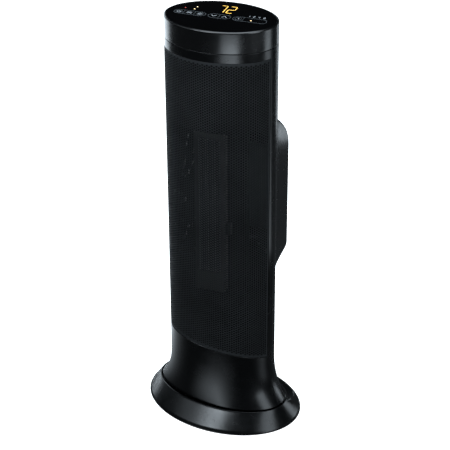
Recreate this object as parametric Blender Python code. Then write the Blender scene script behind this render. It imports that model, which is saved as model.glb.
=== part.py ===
"""Oscillating ceramic tower heater, modelled in metres with +Z up and the front towards -Y.

The oval base stays still. The tower turns on it about the upright axis through the origin, which lies
on the floor. The tower's own frame is turned from the base's by TWIST, and its skirt twists back, so
that at rest the skirt's foot lines up with the base ring.
"""

from math import acos, cos, pi, radians, sin, tan

import bmesh
import bpy

# Counts and angles
OVAL_SIDES = 40
ROUND_SIDES = 16
TWIST = radians(10.14)
PARTING = radians(7.5)
SMOOTH_ANGLE = radians(35)

# Fits
SEAM = 0.0004
FIT = 0.0003
OVERRUN = 0.004

# Tower section and walls
HEIGHT = 0.585
HALF_WIDTH = 0.0746
HALF_DEPTH = 0.0529
WALL = 0.0025

# Skirt
FLARE_WIDTH = 0.0206
FLARE_DEPTH = 0.0002
FLARE_CLEARANCE = 0.0134
FLARE_POWER = 2.9
SKIRT_ROW_SHARES = (0.0, 0.08, 0.19, 0.35, 0.57, 1.0)
TWIST_POWER = 2.0
RUNNING_GAP = 0.0008

# Base ring
SLOPE_WIDTH = 0.0159
SLOPE_DEPTH = 0.0270
RING_SET_BACK = 0.0047
RING_CHAMFER = 0.0006
RING_EDGE = 0.0014
LIP_STEP_WIDTH = 0.0033
LIP_STEP_DEPTH = 0.0049
LIP_HEIGHT = 0.0262
LIP_WIDTH = 0.0016
LIP_ROUND = 0.0006
DISH_DEPTH = 0.0072
DISH_FLOOR = 0.0025
CAVITY_WALL_WIDTH = 0.0079
CAVITY_WALL_DEPTH = 0.0088

# Scoop and cord notch at the back of the ring
SLOPE_SHARES = (0.9, 0.86)
SCOOP_FLOOR = 0.0090
SCOOP_START = radians(13)
SCOOP_FULL = radians(40)
SCOOP_INNER_SHARES = (0.08, 0.14)
SCOOP_OUTER_SHARES = (0.20, 0.78)
SCOOP_WALL_SHARE = 0.04
NOTCH_WIDTH = 0.0160
NOTCH_WALL = 0.0016
NOTCH_BOTTOM = 0.0060
GLAND_RADIUS = 0.0043
GLAND_BORE = 0.0034
GLAND_FLANGE_RADIUS = 0.0054
GLAND_FLANGE = 0.0016

# Underside
FOOT_RADIUS = 0.0090
FOOT_HEIGHT = 0.0025
FOOT_TAPER = 0.0006
FOOT_PROUD = 0.0010
FOOT_INSET_X = 0.0300
FOOT_INSET_Y = 0.0320
COVER_LAP_WIDTH = 0.0031
COVER_LAP_DEPTH = 0.0032
COVER_THICKNESS = 0.0026
WEIGHT_CLEARANCE = 0.0040
WEIGHT_THICKNESS = 0.0060
WEIGHT_BORE = 0.0100

# Pivot
HUB_RADIUS = 0.0240
HUB_TOP = 0.0252
HUB_BOTTOM = 0.0142
SPINDLE_RADIUS = 0.0145
SPINDLE_BORE = 0.0110
WASHER_RADIUS = 0.0235
PLATE_THICKNESS = 0.0030
RETAINER_RADIUS = 0.0200
RETAINER_BORE = 0.0090
RETAINER_THICKNESS = 0.0014

# Tip-over switch
SWITCH_INSET = 0.0250
SWITCH_LENGTH = 0.0240
SWITCH_WIDTH = 0.0120
SWITCH_HEIGHT = 0.0082
PLUNGER_RADIUS = 0.0025
PLUNGER_LENGTH = 0.0092
PLUNGER_HEAD = 0.0006

# Oscillation drive
GEAR_MODULE = 0.0010
SECTOR_TEETH_ROUND = 60
SECTOR_TEETH = 21
PINION_TEETH = 16
GEAR_THICKNESS = 0.0050
GEAR_BACKLASH = 0.00018
PRESSURE_ANGLE = radians(20)
TOOTH_ROOT_SHARE = 1.25
TOOTH_TIP_SHARE = 0.90
SECTOR_BORE_STEPS = 8
PINION_LIFT = 0.0010
PINION_SHAFT_RADIUS = 0.0025
OSCILLATION_MOTOR_RADIUS = 0.0170
OSCILLATION_MOTOR_HEIGHT = 0.0180
MOTOR_CAP_RADIUS = 0.0120
MOTOR_CAP_HEIGHT = 0.0030

# Collar and control panel
COLLAR_HEIGHT = 0.0287
COLLAR_BEVEL = 0.0008
COLLAR_RIM = 0.0020
LEDGE_DROP = 0.0030
LEDGE_WIDTH = 0.0050
LEDGE_THICKNESS = 0.0030
PANEL_DROP = 0.0004
PANEL_THICKNESS = 0.0023
PANEL_EDGE = 0.0003
DISPLAY_BOARD_THICKNESS = 0.0016
DISPLAY_WIDTH = 0.0280
DISPLAY_DEPTH = 0.0160
DISPLAY_Y = 0.0260

# Front opening and grille
BAND_HEIGHT = 0.0123
COLUMN_ANGLE = radians(16.5)
CUT_HEIGHT = 0.1094
CUT_SLOPE_X = -0.186
CUT_SLOPE_Y = -0.180
GRILLE_THICKNESS = 0.0015
GRILLE_COLUMNS = 8
GRILLE_ROWS = 9
GRILLE_HOLE_SHARE = 0.74
GRILLE_SIDE_SHARE = 0.03
GRILLE_END_SHARE = 0.015

# Rear housing
HOUSING_STEP = 0.0086
HOUSING_DEPTH = 0.0431
HOUSING_CORNER = 0.0150
HOUSING_TOP = 0.4410
HOUSING_BOTTOM = 0.2070
HOUSING_SHOULDER_TOP = 0.0630
HOUSING_SHOULDER_BOTTOM = 0.0200
SHOULDER_POWER = 2.2
SHOULDER_ROW_SHARES = (0.07, 0.24, 0.52, 1.0)
HOUSING_STATION_SHARES = (0.5, 1.0, 1.33, 1.67, 2.0, 3.0, 4.0)
STATION_MARGIN = radians(2)
INTAKE_SIDE_MARGIN = 0.0070
INTAKE_LOW_MARGIN = 0.0100
INTAKE_HIGH_MARGIN = 0.0090
INTAKE_THICKNESS = 0.0022
INTAKE_COLUMNS = 2
INTAKE_ROWS = 12
INTAKE_COLUMN_SHARE = 0.76
INTAKE_ROW_SHARE = 0.50
FILTER_THICKNESS = 0.0012
FILTER_BARS = 5
FILTER_BORDER = 0.0040
FILTER_OPEN_SHARE = 0.84
FILTER_MIDDLE_BAR = 0.0020

# Bulkheads, scroll and blower
BULKHEAD_LOW = 0.2080
BULKHEAD_HIGH = 0.4460
BULKHEAD_THICKNESS = 0.0024
BLOWER_CLEARANCE = 0.0016
WHEEL_RADIUS = 0.0260
WHEEL_BORE_RADIUS = 0.0200
WHEEL_DISC = 0.0015
WHEEL_CLEARANCE = 0.0030
WHEEL_HUB_RADIUS = 0.0070
WHEEL_HUB_LENGTH = 0.0075
WHEEL_BLADES = 14
WHEEL_SIDES = 24
BLADE_THICKNESS = 0.0009
BLADE_BITE = 0.0005
BLADE_BEND = radians(3)
BLADE_SWEEP = radians(11)
SHAFT_RADIUS = 0.0030
SHAFT_HIGH_END = 0.0100
SHAFT_LOW_END = 0.0520
SHAFT_HOLE_RADIUS = 0.0080
BEARING_RADIUS = 0.0070
BEARING_FLANGE_RADIUS = 0.0110
BEARING_FLANGE = 0.0020
BEARING_HEIGHT = 0.0080
BLOWER_MOTOR_RADIUS = 0.0300
BLOWER_MOTOR_HEIGHT = 0.0420
BLOWER_MOTOR_ROUND = 0.0050
SCROLL_WALL = 0.0018
SCROLL_TIP_GAP = 0.0020
SCROLL_GROWTH = 0.0030
SCROLL_STEPS = 11
SCROLL_START = radians(-35)
SCROLL_END = radians(100)
TONGUE_STEPS = 3
TONGUE_START = radians(215)
TONGUE_END = radians(175)

# Heating element
ELEMENT_HALF_WIDTH = 0.0200
ELEMENT_INSET = 0.0059
ELEMENT_DEPTH = 0.0140
ELEMENT_SIDE_BAR = 0.0040
ELEMENT_LOW_BAR = 0.0290
ELEMENT_HIGH_BAR = 0.0097
FIN_INSET = 0.0015
FIN_COLUMNS = 3
FIN_ROWS = 9
FIN_HOLE_SHARE = 0.80
CUTOUT_WIDTH = 0.0070
CUTOUT_DEPTH = 0.0070
CUTOUT_HEIGHT = 0.0160
CUTOUT_LIFT = 0.0900

# Power board
BOARD_HALF_WIDTH = 0.0400
BOARD_HEIGHT = 0.0900
BOARD_THICKNESS = 0.0016
BOARD_Y = 0.0220
BRACKET_HALF_DEPTH = 0.0040
BRACKET_HEIGHT = 0.0060
BRACKET_FLOOR = 0.0018
RELAY_WIDTH = 0.0190
RELAY_DEPTH = 0.0155
RELAY_HEIGHT = 0.0200
RELAY_X = 0.0150
RELAY_Z = 0.0700
CAPACITOR_RADIUS = 0.0065
CAPACITOR_LENGTH = 0.0120
CAPACITOR_X = -0.0200
CAPACITOR_Z = 0.0720

# Places that follow from the sizes
FOOT_Z = LIP_HEIGHT + RUNNING_GAP
FOOT_HALF_WIDTH = HALF_WIDTH + FLARE_WIDTH
FOOT_HALF_DEPTH = HALF_DEPTH + FLARE_DEPTH
FLARE_TOP = CUT_HEIGHT - FLARE_CLEARANCE
FLARE_HEIGHT = FLARE_TOP - FOOT_Z
LIP_HALF_WIDTH = FOOT_HALF_WIDTH + LIP_STEP_WIDTH
LIP_HALF_DEPTH = FOOT_HALF_DEPTH + LIP_STEP_DEPTH
RING_HALF_WIDTH = LIP_HALF_WIDTH + SLOPE_WIDTH
RING_HALF_DEPTH = LIP_HALF_DEPTH + SLOPE_DEPTH
CAVITY_HALF_WIDTH = LIP_HALF_WIDTH - CAVITY_WALL_WIDTH
CAVITY_HALF_DEPTH = LIP_HALF_DEPTH - CAVITY_WALL_DEPTH
NOTCH_FACE = LIP_HALF_DEPTH + NOTCH_WALL
COVER_HALF_WIDTH = LIP_HALF_WIDTH + COVER_LAP_WIDTH
COVER_HALF_DEPTH = LIP_HALF_DEPTH + COVER_LAP_DEPTH
FOOT_X = COVER_HALF_WIDTH - FOOT_INSET_X
FOOT_Y = COVER_HALF_DEPTH - FOOT_INSET_Y
WEIGHT_HALF_WIDTH = CAVITY_HALF_WIDTH - WEIGHT_CLEARANCE
WEIGHT_HALF_DEPTH = CAVITY_HALF_DEPTH - WEIGHT_CLEARANCE
SWITCH_X = CAVITY_HALF_WIDTH - SWITCH_INSET
COLLAR_SEAM = HEIGHT - COLLAR_HEIGHT
WINDOW_TOP = COLLAR_SEAM - BAND_HEIGHT
DISH_Z = LIP_HEIGHT - DISH_DEPTH
CAVITY_TOP = DISH_Z - DISH_FLOOR
COVER_TOP = FOOT_PROUD + COVER_THICKNESS
GAP_ANGLE = SEAM / HALF_WIDTH
PINION_DISTANCE = GEAR_MODULE * (SECTOR_TEETH_ROUND + PINION_TEETH) / 2
PLATE_TOP = FOOT_Z + PLATE_THICKNESS
HOUSING_HALF_WIDTH = HALF_WIDTH - HOUSING_STEP
HOUSING_BACK = HALF_DEPTH + HOUSING_DEPTH
INTAKE_HALF_WIDTH = HOUSING_HALF_WIDTH - HOUSING_CORNER - INTAKE_SIDE_MARGIN
INTAKE_BOTTOM = HOUSING_BOTTOM + HOUSING_SHOULDER_BOTTOM + INTAKE_LOW_MARGIN
INTAKE_TOP = HOUSING_TOP - HOUSING_SHOULDER_TOP - INTAKE_HIGH_MARGIN
SCROLL_RADIUS = WHEEL_RADIUS + SCROLL_TIP_GAP + SCROLL_GROWTH + SCROLL_WALL
BLOWER_Y = HALF_DEPTH - WALL - BLOWER_CLEARANCE - SCROLL_RADIUS
ELEMENT_FRONT = HALF_DEPTH - ELEMENT_INSET
ELEMENT_BACK = ELEMENT_FRONT - ELEMENT_DEPTH
SHAFT_TOP = BULKHEAD_HIGH + SHAFT_HIGH_END
SHAFT_BOTTOM = BULKHEAD_LOW - SHAFT_LOW_END
CUTOUT_Z = BULKHEAD_LOW + CUTOUT_LIFT
WHEEL_LOW = BULKHEAD_LOW + BULKHEAD_THICKNESS + WHEEL_CLEARANCE
WHEEL_HIGH = BULKHEAD_HIGH - WHEEL_CLEARANCE
SCROLL_LOW = BULKHEAD_LOW + BULKHEAD_THICKNESS + FIT
SCROLL_HIGH = BULKHEAD_HIGH - FIT


def clear_scene():
    for obj in list(bpy.data.objects):
        bpy.data.objects.remove(obj)


def make_material(name, colour, roughness, metallic=0.0):
    material = bpy.data.materials.new(name)
    material.use_nodes = True
    shader = material.node_tree.nodes["Principled BSDF"]
    shader.inputs["Base Color"].default_value = (*colour, 1.0)
    shader.inputs["Roughness"].default_value = roughness
    shader.inputs["Metallic"].default_value = metallic
    return material


def make_materials():
    return {
        "satin_black": make_material("satin_black", (0.018, 0.020, 0.021), 0.36),
        "grille_black": make_material("grille_black", (0.012, 0.013, 0.014), 0.42),
        "gloss_black": make_material("gloss_black", (0.004, 0.004, 0.005), 0.05),
        "inner_plastic": make_material("inner_plastic", (0.045, 0.045, 0.047), 0.55),
        "bearing_plastic": make_material("bearing_plastic", (0.72, 0.70, 0.64), 0.45),
        "rubber": make_material("rubber", (0.020, 0.020, 0.020), 0.85),
        "steel": make_material("steel", (0.56, 0.57, 0.58), 0.32, 1.0),
        "aluminium": make_material("aluminium", (0.72, 0.73, 0.74), 0.38, 1.0),
        "circuit_board": make_material("circuit_board", (0.015, 0.10, 0.045), 0.50),
        "display": make_material("display", (0.10, 0.045, 0.010), 0.30),
        "filter_mesh": make_material("filter_mesh", (0.10, 0.105, 0.11), 0.75),
    }


def place_object(name, mesh, material, parent=None, location=(0, 0, 0), smooth=True):
    mesh.materials.append(material)
    if smooth:
        mesh.shade_smooth()
        mesh.set_sharp_from_angle(angle=SMOOTH_ANGLE)
    obj = bpy.data.objects.new(name, mesh)
    bpy.context.collection.objects.link(obj)
    obj.parent = parent
    obj.location = location
    return obj


def make_empty(name, parent=None, location=(0, 0, 0), turn=0.0):
    empty = bpy.data.objects.new(name, None)
    bpy.context.collection.objects.link(empty)
    empty.parent = parent
    empty.location = location
    empty.rotation_euler = (0, 0, turn)
    return empty


def mesh_from(name, points, faces):
    mesh = bpy.data.meshes.new(name)
    mesh.from_pydata(points, [], faces)
    bm = bmesh.new()
    bm.from_mesh(mesh)
    bmesh.ops.recalc_face_normals(bm, faces=bm.faces)
    bm.to_mesh(mesh)
    bm.free()
    return mesh


def stacked_mesh(name, rings):
    """A solid through a stack of rings, with a flat cap at each end."""
    count = len(rings[0])
    points = [point for ring in rings for point in ring]
    faces = [tuple(range(count)), tuple((len(rings) - 1) * count + i for i in range(count))]
    for low in range(len(rings) - 1):
        for i in range(count):
            j = (i + 1) % count
            faces.append((low * count + i, low * count + j, (low + 1) * count + j, (low + 1) * count + i))
    return mesh_from(name, points, faces)


def looped_mesh(name, rings):
    """A solid with a hole: the rings go up its outside and back down its inside."""
    count = len(rings[0])
    points = [point for ring in rings for point in ring]
    faces = []
    for ring in range(len(rings)):
        after = (ring + 1) % len(rings)
        for i in range(count):
            j = (i + 1) % count
            faces.append((ring * count + i, ring * count + j, after * count + j, after * count + i))
    return mesh_from(name, points, faces)


def thick_mesh(name, flat, place):
    """A thin wall from a flat pattern: place(u, v, 0) is its outside and place(u, v, 1) its inside."""
    spots, faces = flat
    count = len(spots)
    points = [place(u, v, 0) for u, v in spots] + [place(u, v, 1) for u, v in spots]
    inner = [tuple(count + i for i in reversed(face)) for face in faces]
    directed = {(face[k], face[(k + 1) % len(face)]) for face in faces for k in range(len(face))}
    rims = [(b, a, count + a, count + b) for a, b in sorted(directed) if (b, a) not in directed]
    return mesh_from(name, points, list(faces) + inner + rims)


def grid_pattern(columns, rows, is_open):
    """Rectangles between the given column and row positions, leaving out the open ones."""
    index = {}
    faces = []
    for i in range(len(columns) - 1):
        for j in range(len(rows) - 1):
            if is_open(i, j):
                continue
            corners = ((i, j), (i + 1, j), (i + 1, j + 1), (i, j + 1))
            faces.append(tuple(index.setdefault(corner, len(index)) for corner in corners))
    return [(columns[i], rows[j]) for i, j in index], faces


def opening_lines(count, open_share, first=0.0, last=1.0):
    """Grid lines from 0 to 1 round a row of openings, each of them an open share of its step."""
    step = (last - first) / count
    blank = (1 - open_share) / 2
    lines = [0.0]
    for k in range(count):
        lines += [first + step * (k + blank), first + step * (k + 1 - blank)]
    return lines + [1.0]


def in_opening(i, j):
    return i % 2 == 1 and j % 2 == 1


def staggered_pattern(columns, rows, side, end, share):
    """Rows of six-sided holes on a unit square, each row set half a step from the last."""
    half = (1 - 2 * side) / (2 * columns)
    step = (1 - 2 * end) / rows
    index = {}
    faces = []

    def spot(i, j):
        u = 0.0 if i < 0 else 1.0 if i > 2 * columns else side + half * i
        v = 0.0 if j < 0 else 1.0 if j > rows else end + step * j
        return index.setdefault((round(u, 9), round(v, 9)), len(index))

    def hole_spot(i, j, du, dv):
        u = side + half * (i + 1 + du * share)
        v = end + step * (j + 0.5 + dv * share)
        return index.setdefault((round(u, 9), round(v, 9)), len(index))

    for j in range(-1, rows + 1):
        blank_row = j < 0 or j == rows
        first = 0 if j % 2 == 0 else 1
        last = 2 * columns - first
        faces.append((spot(-1, j), spot(0, j), spot(0, j + 1), spot(-1, j + 1)))
        faces.append((spot(2 * columns, j), spot(2 * columns + 1, j),
                      spot(2 * columns + 1, j + 1), spot(2 * columns, j + 1)))
        if blank_row:
            for i in range(2 * columns):
                faces.append((spot(i, j), spot(i + 1, j), spot(i + 1, j + 1), spot(i, j + 1)))
            continue
        if first:
            faces.append((spot(0, j), spot(1, j), spot(1, j + 1), spot(0, j + 1)))
            faces.append((spot(last, j), spot(last + 1, j), spot(last + 1, j + 1), spot(last, j + 1)))
        for i in range(first, last, 2):
            outer = [spot(i, j), spot(i + 1, j), spot(i + 2, j)]
            outer += [spot(i + 2, j + 1), spot(i + 1, j + 1), spot(i, j + 1)]
            hole = [hole_spot(i, j, du, dv) for du, dv in
                    ((-1, -0.25), (0, -0.5), (1, -0.25), (1, 0.25), (0, 0.5), (-1, 0.25))]
            for k in range(6):
                n = (k + 1) % 6
                faces.append((outer[k], outer[n], hole[n], hole[k]))
    return list(index), faces


def oval_angles():
    return [2 * pi * i / OVAL_SIDES for i in range(OVAL_SIDES)]


def oval(half_width, half_depth, z, set_back=0.0):
    return [(half_width * cos(angle), half_depth * sin(angle) + set_back, z) for angle in oval_angles()]


def circle(radius, z, x=0.0, y=0.0, sides=ROUND_SIDES):
    turns = [2 * pi * i / sides for i in range(sides)]
    return [(x + radius * cos(turn), y + radius * sin(turn), z) for turn in turns]


def box_mesh(name, low, high):
    (x0, y0, z0), (x1, y1, z1) = low, high
    bottom = [(x0, y0, z0), (x1, y0, z0), (x1, y1, z0), (x0, y1, z0)]
    top = [(x, y, z1) for x, y, _ in bottom]
    return stacked_mesh(name, [bottom, top])


def prism_mesh(name, outline, z0, z1):
    return stacked_mesh(name, [[(x, y, z0) for x, y in outline], [(x, y, z1) for x, y in outline]])


def carve(obj, cutter_mesh, operation="DIFFERENCE"):
    """Cut a mesh from an object, or join it on, and keep the result as the object's own mesh."""
    cutter = bpy.data.objects.new(obj.name + "_cutter", cutter_mesh)
    bpy.context.collection.objects.link(cutter)
    cutter.parent = obj.parent
    cutter.hide_render = True
    cutter.display_type = "WIRE"
    modifier = obj.modifiers.new("carve", "BOOLEAN")
    modifier.operation = operation
    modifier.solver = "EXACT"
    modifier.object = cutter
    bpy.context.view_layer.update()
    evaluated = obj.evaluated_get(bpy.context.evaluated_depsgraph_get())
    result = bpy.data.meshes.new_from_object(evaluated)
    obj.modifiers.clear()
    obj.data = result
    bpy.data.objects.remove(cutter)


def tower_point(angle, z, depth=0.0):
    """A point on the tower's outside, or a depth inside it, with the skirt's flare and twist."""
    drop = max(0.0, (FLARE_TOP - z) / FLARE_HEIGHT)
    flare = drop ** FLARE_POWER
    turn = -TWIST * drop ** TWIST_POWER
    x = (HALF_WIDTH + flare * (FOOT_HALF_WIDTH - HALF_WIDTH) - depth) * cos(angle)
    y = (HALF_DEPTH + flare * (FOOT_HALF_DEPTH - HALF_DEPTH) - depth) * sin(angle)
    return x * cos(turn) - y * sin(turn), x * sin(turn) + y * cos(turn), z


def cut_height(angle):
    """Height of the slanting plane that divides the grille from the skirt."""
    return CUT_HEIGHT + CUT_SLOPE_X * HALF_WIDTH * cos(angle) + CUT_SLOPE_Y * HALF_DEPTH * sin(angle)


def spread(first, last, count):
    return [first + (last - first) * i / (count - 1) for i in range(count)]


# Base

def slope_height(share):
    """Height of the ring's slope, from the lip at share 0 to the rim at share 1."""
    top = LIP_HEIGHT - LIP_ROUND
    rim = FOOT_PROUD + RING_CHAMFER + RING_EDGE
    knee, knee_drop = SLOPE_SHARES
    if share <= knee:
        return top - (top - rim) * knee_drop * share / knee
    return top - (top - rim) * (knee_drop + (1 - knee_drop) * (share - knee) / (1 - knee))


def scoop_weight(angle):
    """How deep the scoop is at an angle round the ring: 0 at the front and 1 over the back."""
    off_side = min(angle, pi - angle)
    return min(1.0, max(0.0, (off_side - SCOOP_START) / (SCOOP_FULL - SCOOP_START)))


def slope_ring(shares, sunk):
    """One ring on the slope; its share grows, and a sunk one drops to the scoop's floor, over the back."""
    ring = []
    for angle in oval_angles():
        weight = scoop_weight(angle)
        share = shares[0] + (shares[1] - shares[0]) * weight
        x = (LIP_HALF_WIDTH + (RING_HALF_WIDTH - LIP_HALF_WIDTH) * share) * cos(angle)
        y = (LIP_HALF_DEPTH + (RING_HALF_DEPTH - LIP_HALF_DEPTH) * share) * sin(angle)
        z = slope_height(share)
        if sunk:
            z += (SCOOP_FLOOR - z) * weight
        ring.append((x, y + RING_SET_BACK * share, z))
    return ring


def make_base_ring(parent, material):
    """The slanted oval ring with its lip, the dish for the turntable and the hollow for the weight."""
    lip_in_width = LIP_HALF_WIDTH - LIP_WIDTH
    lip_in_depth = LIP_HALF_DEPTH - LIP_WIDTH
    cover_width = COVER_HALF_WIDTH + SEAM
    cover_depth = COVER_HALF_DEPTH + SEAM
    scoop_in, floor_in = SCOOP_INNER_SHARES
    scoop_front, scoop_back = SCOOP_OUTER_SHARES
    floor_out = (scoop_front - SCOOP_WALL_SHARE, scoop_back - SCOOP_WALL_SHARE)
    rings = [
        oval(RING_HALF_WIDTH - RING_CHAMFER, RING_HALF_DEPTH - RING_CHAMFER, FOOT_PROUD, RING_SET_BACK),
        oval(RING_HALF_WIDTH, RING_HALF_DEPTH, FOOT_PROUD + RING_CHAMFER, RING_SET_BACK),
        slope_ring((1.0, 1.0), False),
        slope_ring((SLOPE_SHARES[0], SLOPE_SHARES[0]), False),
        slope_ring((scoop_front, scoop_back), False),
        slope_ring(floor_out, True),
        slope_ring((floor_in, floor_in), True),
        slope_ring((scoop_in, scoop_in), False),
        slope_ring((0.0, 0.0), False),
        oval(LIP_HALF_WIDTH - LIP_ROUND, LIP_HALF_DEPTH - LIP_ROUND, LIP_HEIGHT),
        oval(lip_in_width, lip_in_depth, LIP_HEIGHT),
        oval(lip_in_width, lip_in_depth, DISH_Z),
        oval(HUB_RADIUS, HUB_RADIUS, DISH_Z),
        oval(HUB_RADIUS, HUB_RADIUS, HUB_TOP),
        oval(SPINDLE_RADIUS + FIT, SPINDLE_RADIUS + FIT, HUB_TOP),
        oval(SPINDLE_RADIUS + FIT, SPINDLE_RADIUS + FIT, HUB_BOTTOM),
        oval(HUB_RADIUS, HUB_RADIUS, HUB_BOTTOM),
        oval(HUB_RADIUS, HUB_RADIUS, CAVITY_TOP),
        oval(CAVITY_HALF_WIDTH, CAVITY_HALF_DEPTH, CAVITY_TOP),
        oval(CAVITY_HALF_WIDTH, CAVITY_HALF_DEPTH, COVER_TOP + FIT),
        oval(cover_width, cover_depth, COVER_TOP + FIT),
        oval(cover_width, cover_depth, FOOT_PROUD),
    ]
    ring = place_object("base_ring", looped_mesh("base_ring", rings), material, parent)
    notch = box_mesh("notch", (-NOTCH_WIDTH / 2, NOTCH_FACE, NOTCH_BOTTOM),
                     (NOTCH_WIDTH / 2, RING_HALF_DEPTH + OVERRUN, LIP_HEIGHT))
    carve(ring, notch)
    carve(ring, lying_cylinder("gland_hole", GLAND_RADIUS + FIT, CAVITY_HALF_DEPTH - OVERRUN,
                               NOTCH_FACE + OVERRUN, gland_height()))
    return ring


def gland_height():
    return NOTCH_BOTTOM + FIT + GLAND_FLANGE_RADIUS


def lying_cylinder(name, radius, y0, y1, z):
    ends = [[(x, y, z + rise) for x, rise, _ in circle(radius, 0)] for y in (y0, y1)]
    return stacked_mesh(name, ends)


def make_cord_gland(parent, material):
    z = gland_height()

    def ring(radius, y):
        return [(x, y, z + rise) for x, rise, _ in circle(radius, 0)]

    face = NOTCH_FACE + FIT
    rings = [ring(GLAND_RADIUS, CAVITY_HALF_DEPTH), ring(GLAND_RADIUS, face), ring(GLAND_FLANGE_RADIUS, face),
             ring(GLAND_FLANGE_RADIUS, face + GLAND_FLANGE), ring(GLAND_BORE, face + GLAND_FLANGE),
             ring(GLAND_BORE, CAVITY_HALF_DEPTH)]
    return place_object("cord_gland", looped_mesh("cord_gland", rings), material, parent)


def foot_places():
    return {"front_left": (-FOOT_X, -FOOT_Y), "front_right": (FOOT_X, -FOOT_Y),
            "back_left": (-FOOT_X, FOOT_Y), "back_right": (FOOT_X, FOOT_Y)}


def make_bottom_cover(parent, material):
    mesh = stacked_mesh("cover", [oval(COVER_HALF_WIDTH, COVER_HALF_DEPTH, FOOT_PROUD),
                                  oval(COVER_HALF_WIDTH, COVER_HALF_DEPTH, COVER_TOP)])
    cover = place_object("base_bottom_cover", mesh, material, parent)
    for x, y in foot_places().values():
        recess = [circle(FOOT_RADIUS + FIT, FOOT_PROUD - OVERRUN, x, y),
                  circle(FOOT_RADIUS + FIT, FOOT_HEIGHT + FIT, x, y)]
        carve(cover, stacked_mesh("recess", recess))
    hole = [circle(PLUNGER_RADIUS + FIT, -OVERRUN, SWITCH_X), circle(PLUNGER_RADIUS + FIT, HUB_TOP, SWITCH_X)]
    carve(cover, stacked_mesh("plunger_hole", hole))
    return cover


def make_feet(parent, material):
    for name, (x, y) in foot_places().items():
        rings = [circle(FOOT_RADIUS - FOOT_TAPER, 0, x, y), circle(FOOT_RADIUS, FOOT_TAPER, x, y),
                 circle(FOOT_RADIUS, FOOT_HEIGHT, x, y)]
        place_object("rubber_foot_" + name, stacked_mesh(name, rings), material, parent)


def make_counterweight(parent, material):
    low = COVER_TOP + FIT
    high = low + WEIGHT_THICKNESS
    outer = [oval(WEIGHT_HALF_WIDTH, WEIGHT_HALF_DEPTH, z) for z in (low, high)]
    inner = [oval(WEIGHT_BORE, WEIGHT_BORE, z) for z in (high, low)]
    weight = place_object("counterweight", looped_mesh("counterweight", outer + inner), material, parent)
    pocket_x = SWITCH_LENGTH / 2 + FIT
    pocket_y = SWITCH_WIDTH / 2 + FIT
    carve(weight, box_mesh("pocket", (SWITCH_X - pocket_x, -pocket_y, low - OVERRUN),
                           (SWITCH_X + pocket_x, pocket_y, high + OVERRUN)))
    return weight


def make_tip_over_switch(parent, material):
    low = COVER_TOP + FIT
    mesh = box_mesh("switch", (SWITCH_X - SWITCH_LENGTH / 2, -SWITCH_WIDTH / 2, low),
                    (SWITCH_X + SWITCH_LENGTH / 2, SWITCH_WIDTH / 2, low + SWITCH_HEIGHT))
    switch = place_object("tip_over_switch", mesh, material, parent, smooth=False)
    well = [circle(PLUNGER_RADIUS + FIT, 0, SWITCH_X),
            circle(PLUNGER_RADIUS + FIT, PLUNGER_LENGTH + 2 * FIT, SWITCH_X)]
    carve(switch, stacked_mesh("well", well))
    return switch


def make_tip_over_plunger(parent, material):
    rings = [circle(PLUNGER_RADIUS - PLUNGER_HEAD, FIT), circle(PLUNGER_RADIUS, FIT + PLUNGER_HEAD),
             circle(PLUNGER_RADIUS, PLUNGER_LENGTH)]
    mesh = stacked_mesh("tip_over_plunger", rings)
    return place_object("tip_over_plunger", mesh, material, parent, (SWITCH_X, 0, 0))


def make_thrust_washer(parent, material):
    low, high = HUB_TOP + FIT, FOOT_Z - FIT
    rings = [circle(WASHER_RADIUS, low), circle(WASHER_RADIUS, high),
             circle(SPINDLE_RADIUS + FIT, high), circle(SPINDLE_RADIUS + FIT, low)]
    return place_object("thrust_washer", looped_mesh("thrust_washer", rings), material, parent)


# Gears

def involute(angle):
    return tan(angle) - angle


def tooth_half_angle(teeth, radius):
    """Half the angle that a tooth fills at a radius, from the involute of its base circle."""
    pitch_radius = GEAR_MODULE * teeth / 2
    base_radius = pitch_radius * cos(PRESSURE_ANGLE)
    at_pitch = pi / (2 * teeth) - GEAR_BACKLASH / (2 * pitch_radius)
    slope = acos(min(1.0, base_radius / max(radius, base_radius)))
    return at_pitch + involute(PRESSURE_ANGLE) - involute(slope)


def tooth_outline(teeth, centre):
    """The points of one tooth, from its root on one side over its tip to its root on the other."""
    pitch_radius = GEAR_MODULE * teeth / 2
    root = pitch_radius - TOOTH_ROOT_SHARE * GEAR_MODULE
    tip = pitch_radius + TOOTH_TIP_SHARE * GEAR_MODULE
    radii = (root, pitch_radius, tip)
    sides = [(radius, -tooth_half_angle(teeth, radius)) for radius in radii]
    sides += [(radius, tooth_half_angle(teeth, radius)) for radius in reversed(radii)]
    return [(radius * cos(centre + turn), radius * sin(centre + turn)) for radius, turn in sides]


def make_sector_gear(parent, material):
    """The fixed gear on the base, drawn with a tooth on the line to the pinion at rest."""
    pitch = 2 * pi / SECTOR_TEETH_ROUND
    first = -(SECTOR_TEETH - 1) // 2
    centres = [pitch * (first + k) for k in range(SECTOR_TEETH)]
    outline = [point for centre in centres for point in tooth_outline(SECTOR_TEETH_ROUND, centre)]
    bore = HUB_RADIUS + SEAM
    back = spread(centres[-1] + pitch, centres[0] - pitch, SECTOR_BORE_STEPS + 1)
    inner = [(bore * cos(a), bore * sin(a)) for a in back]
    root = GEAR_MODULE * SECTOR_TEETH_ROUND / 2 - TOOTH_ROOT_SHARE * GEAR_MODULE
    ends = [(root * cos(a), root * sin(a)) for a in (centres[0] - pitch, centres[-1] + pitch)]
    low = DISH_Z + FIT
    mesh = prism_mesh("sector_gear", [ends[0]] + outline + [ends[1]] + inner, low, low + GEAR_THICKNESS)
    return place_object("sector_gear", mesh, material, parent, smooth=False)


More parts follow.
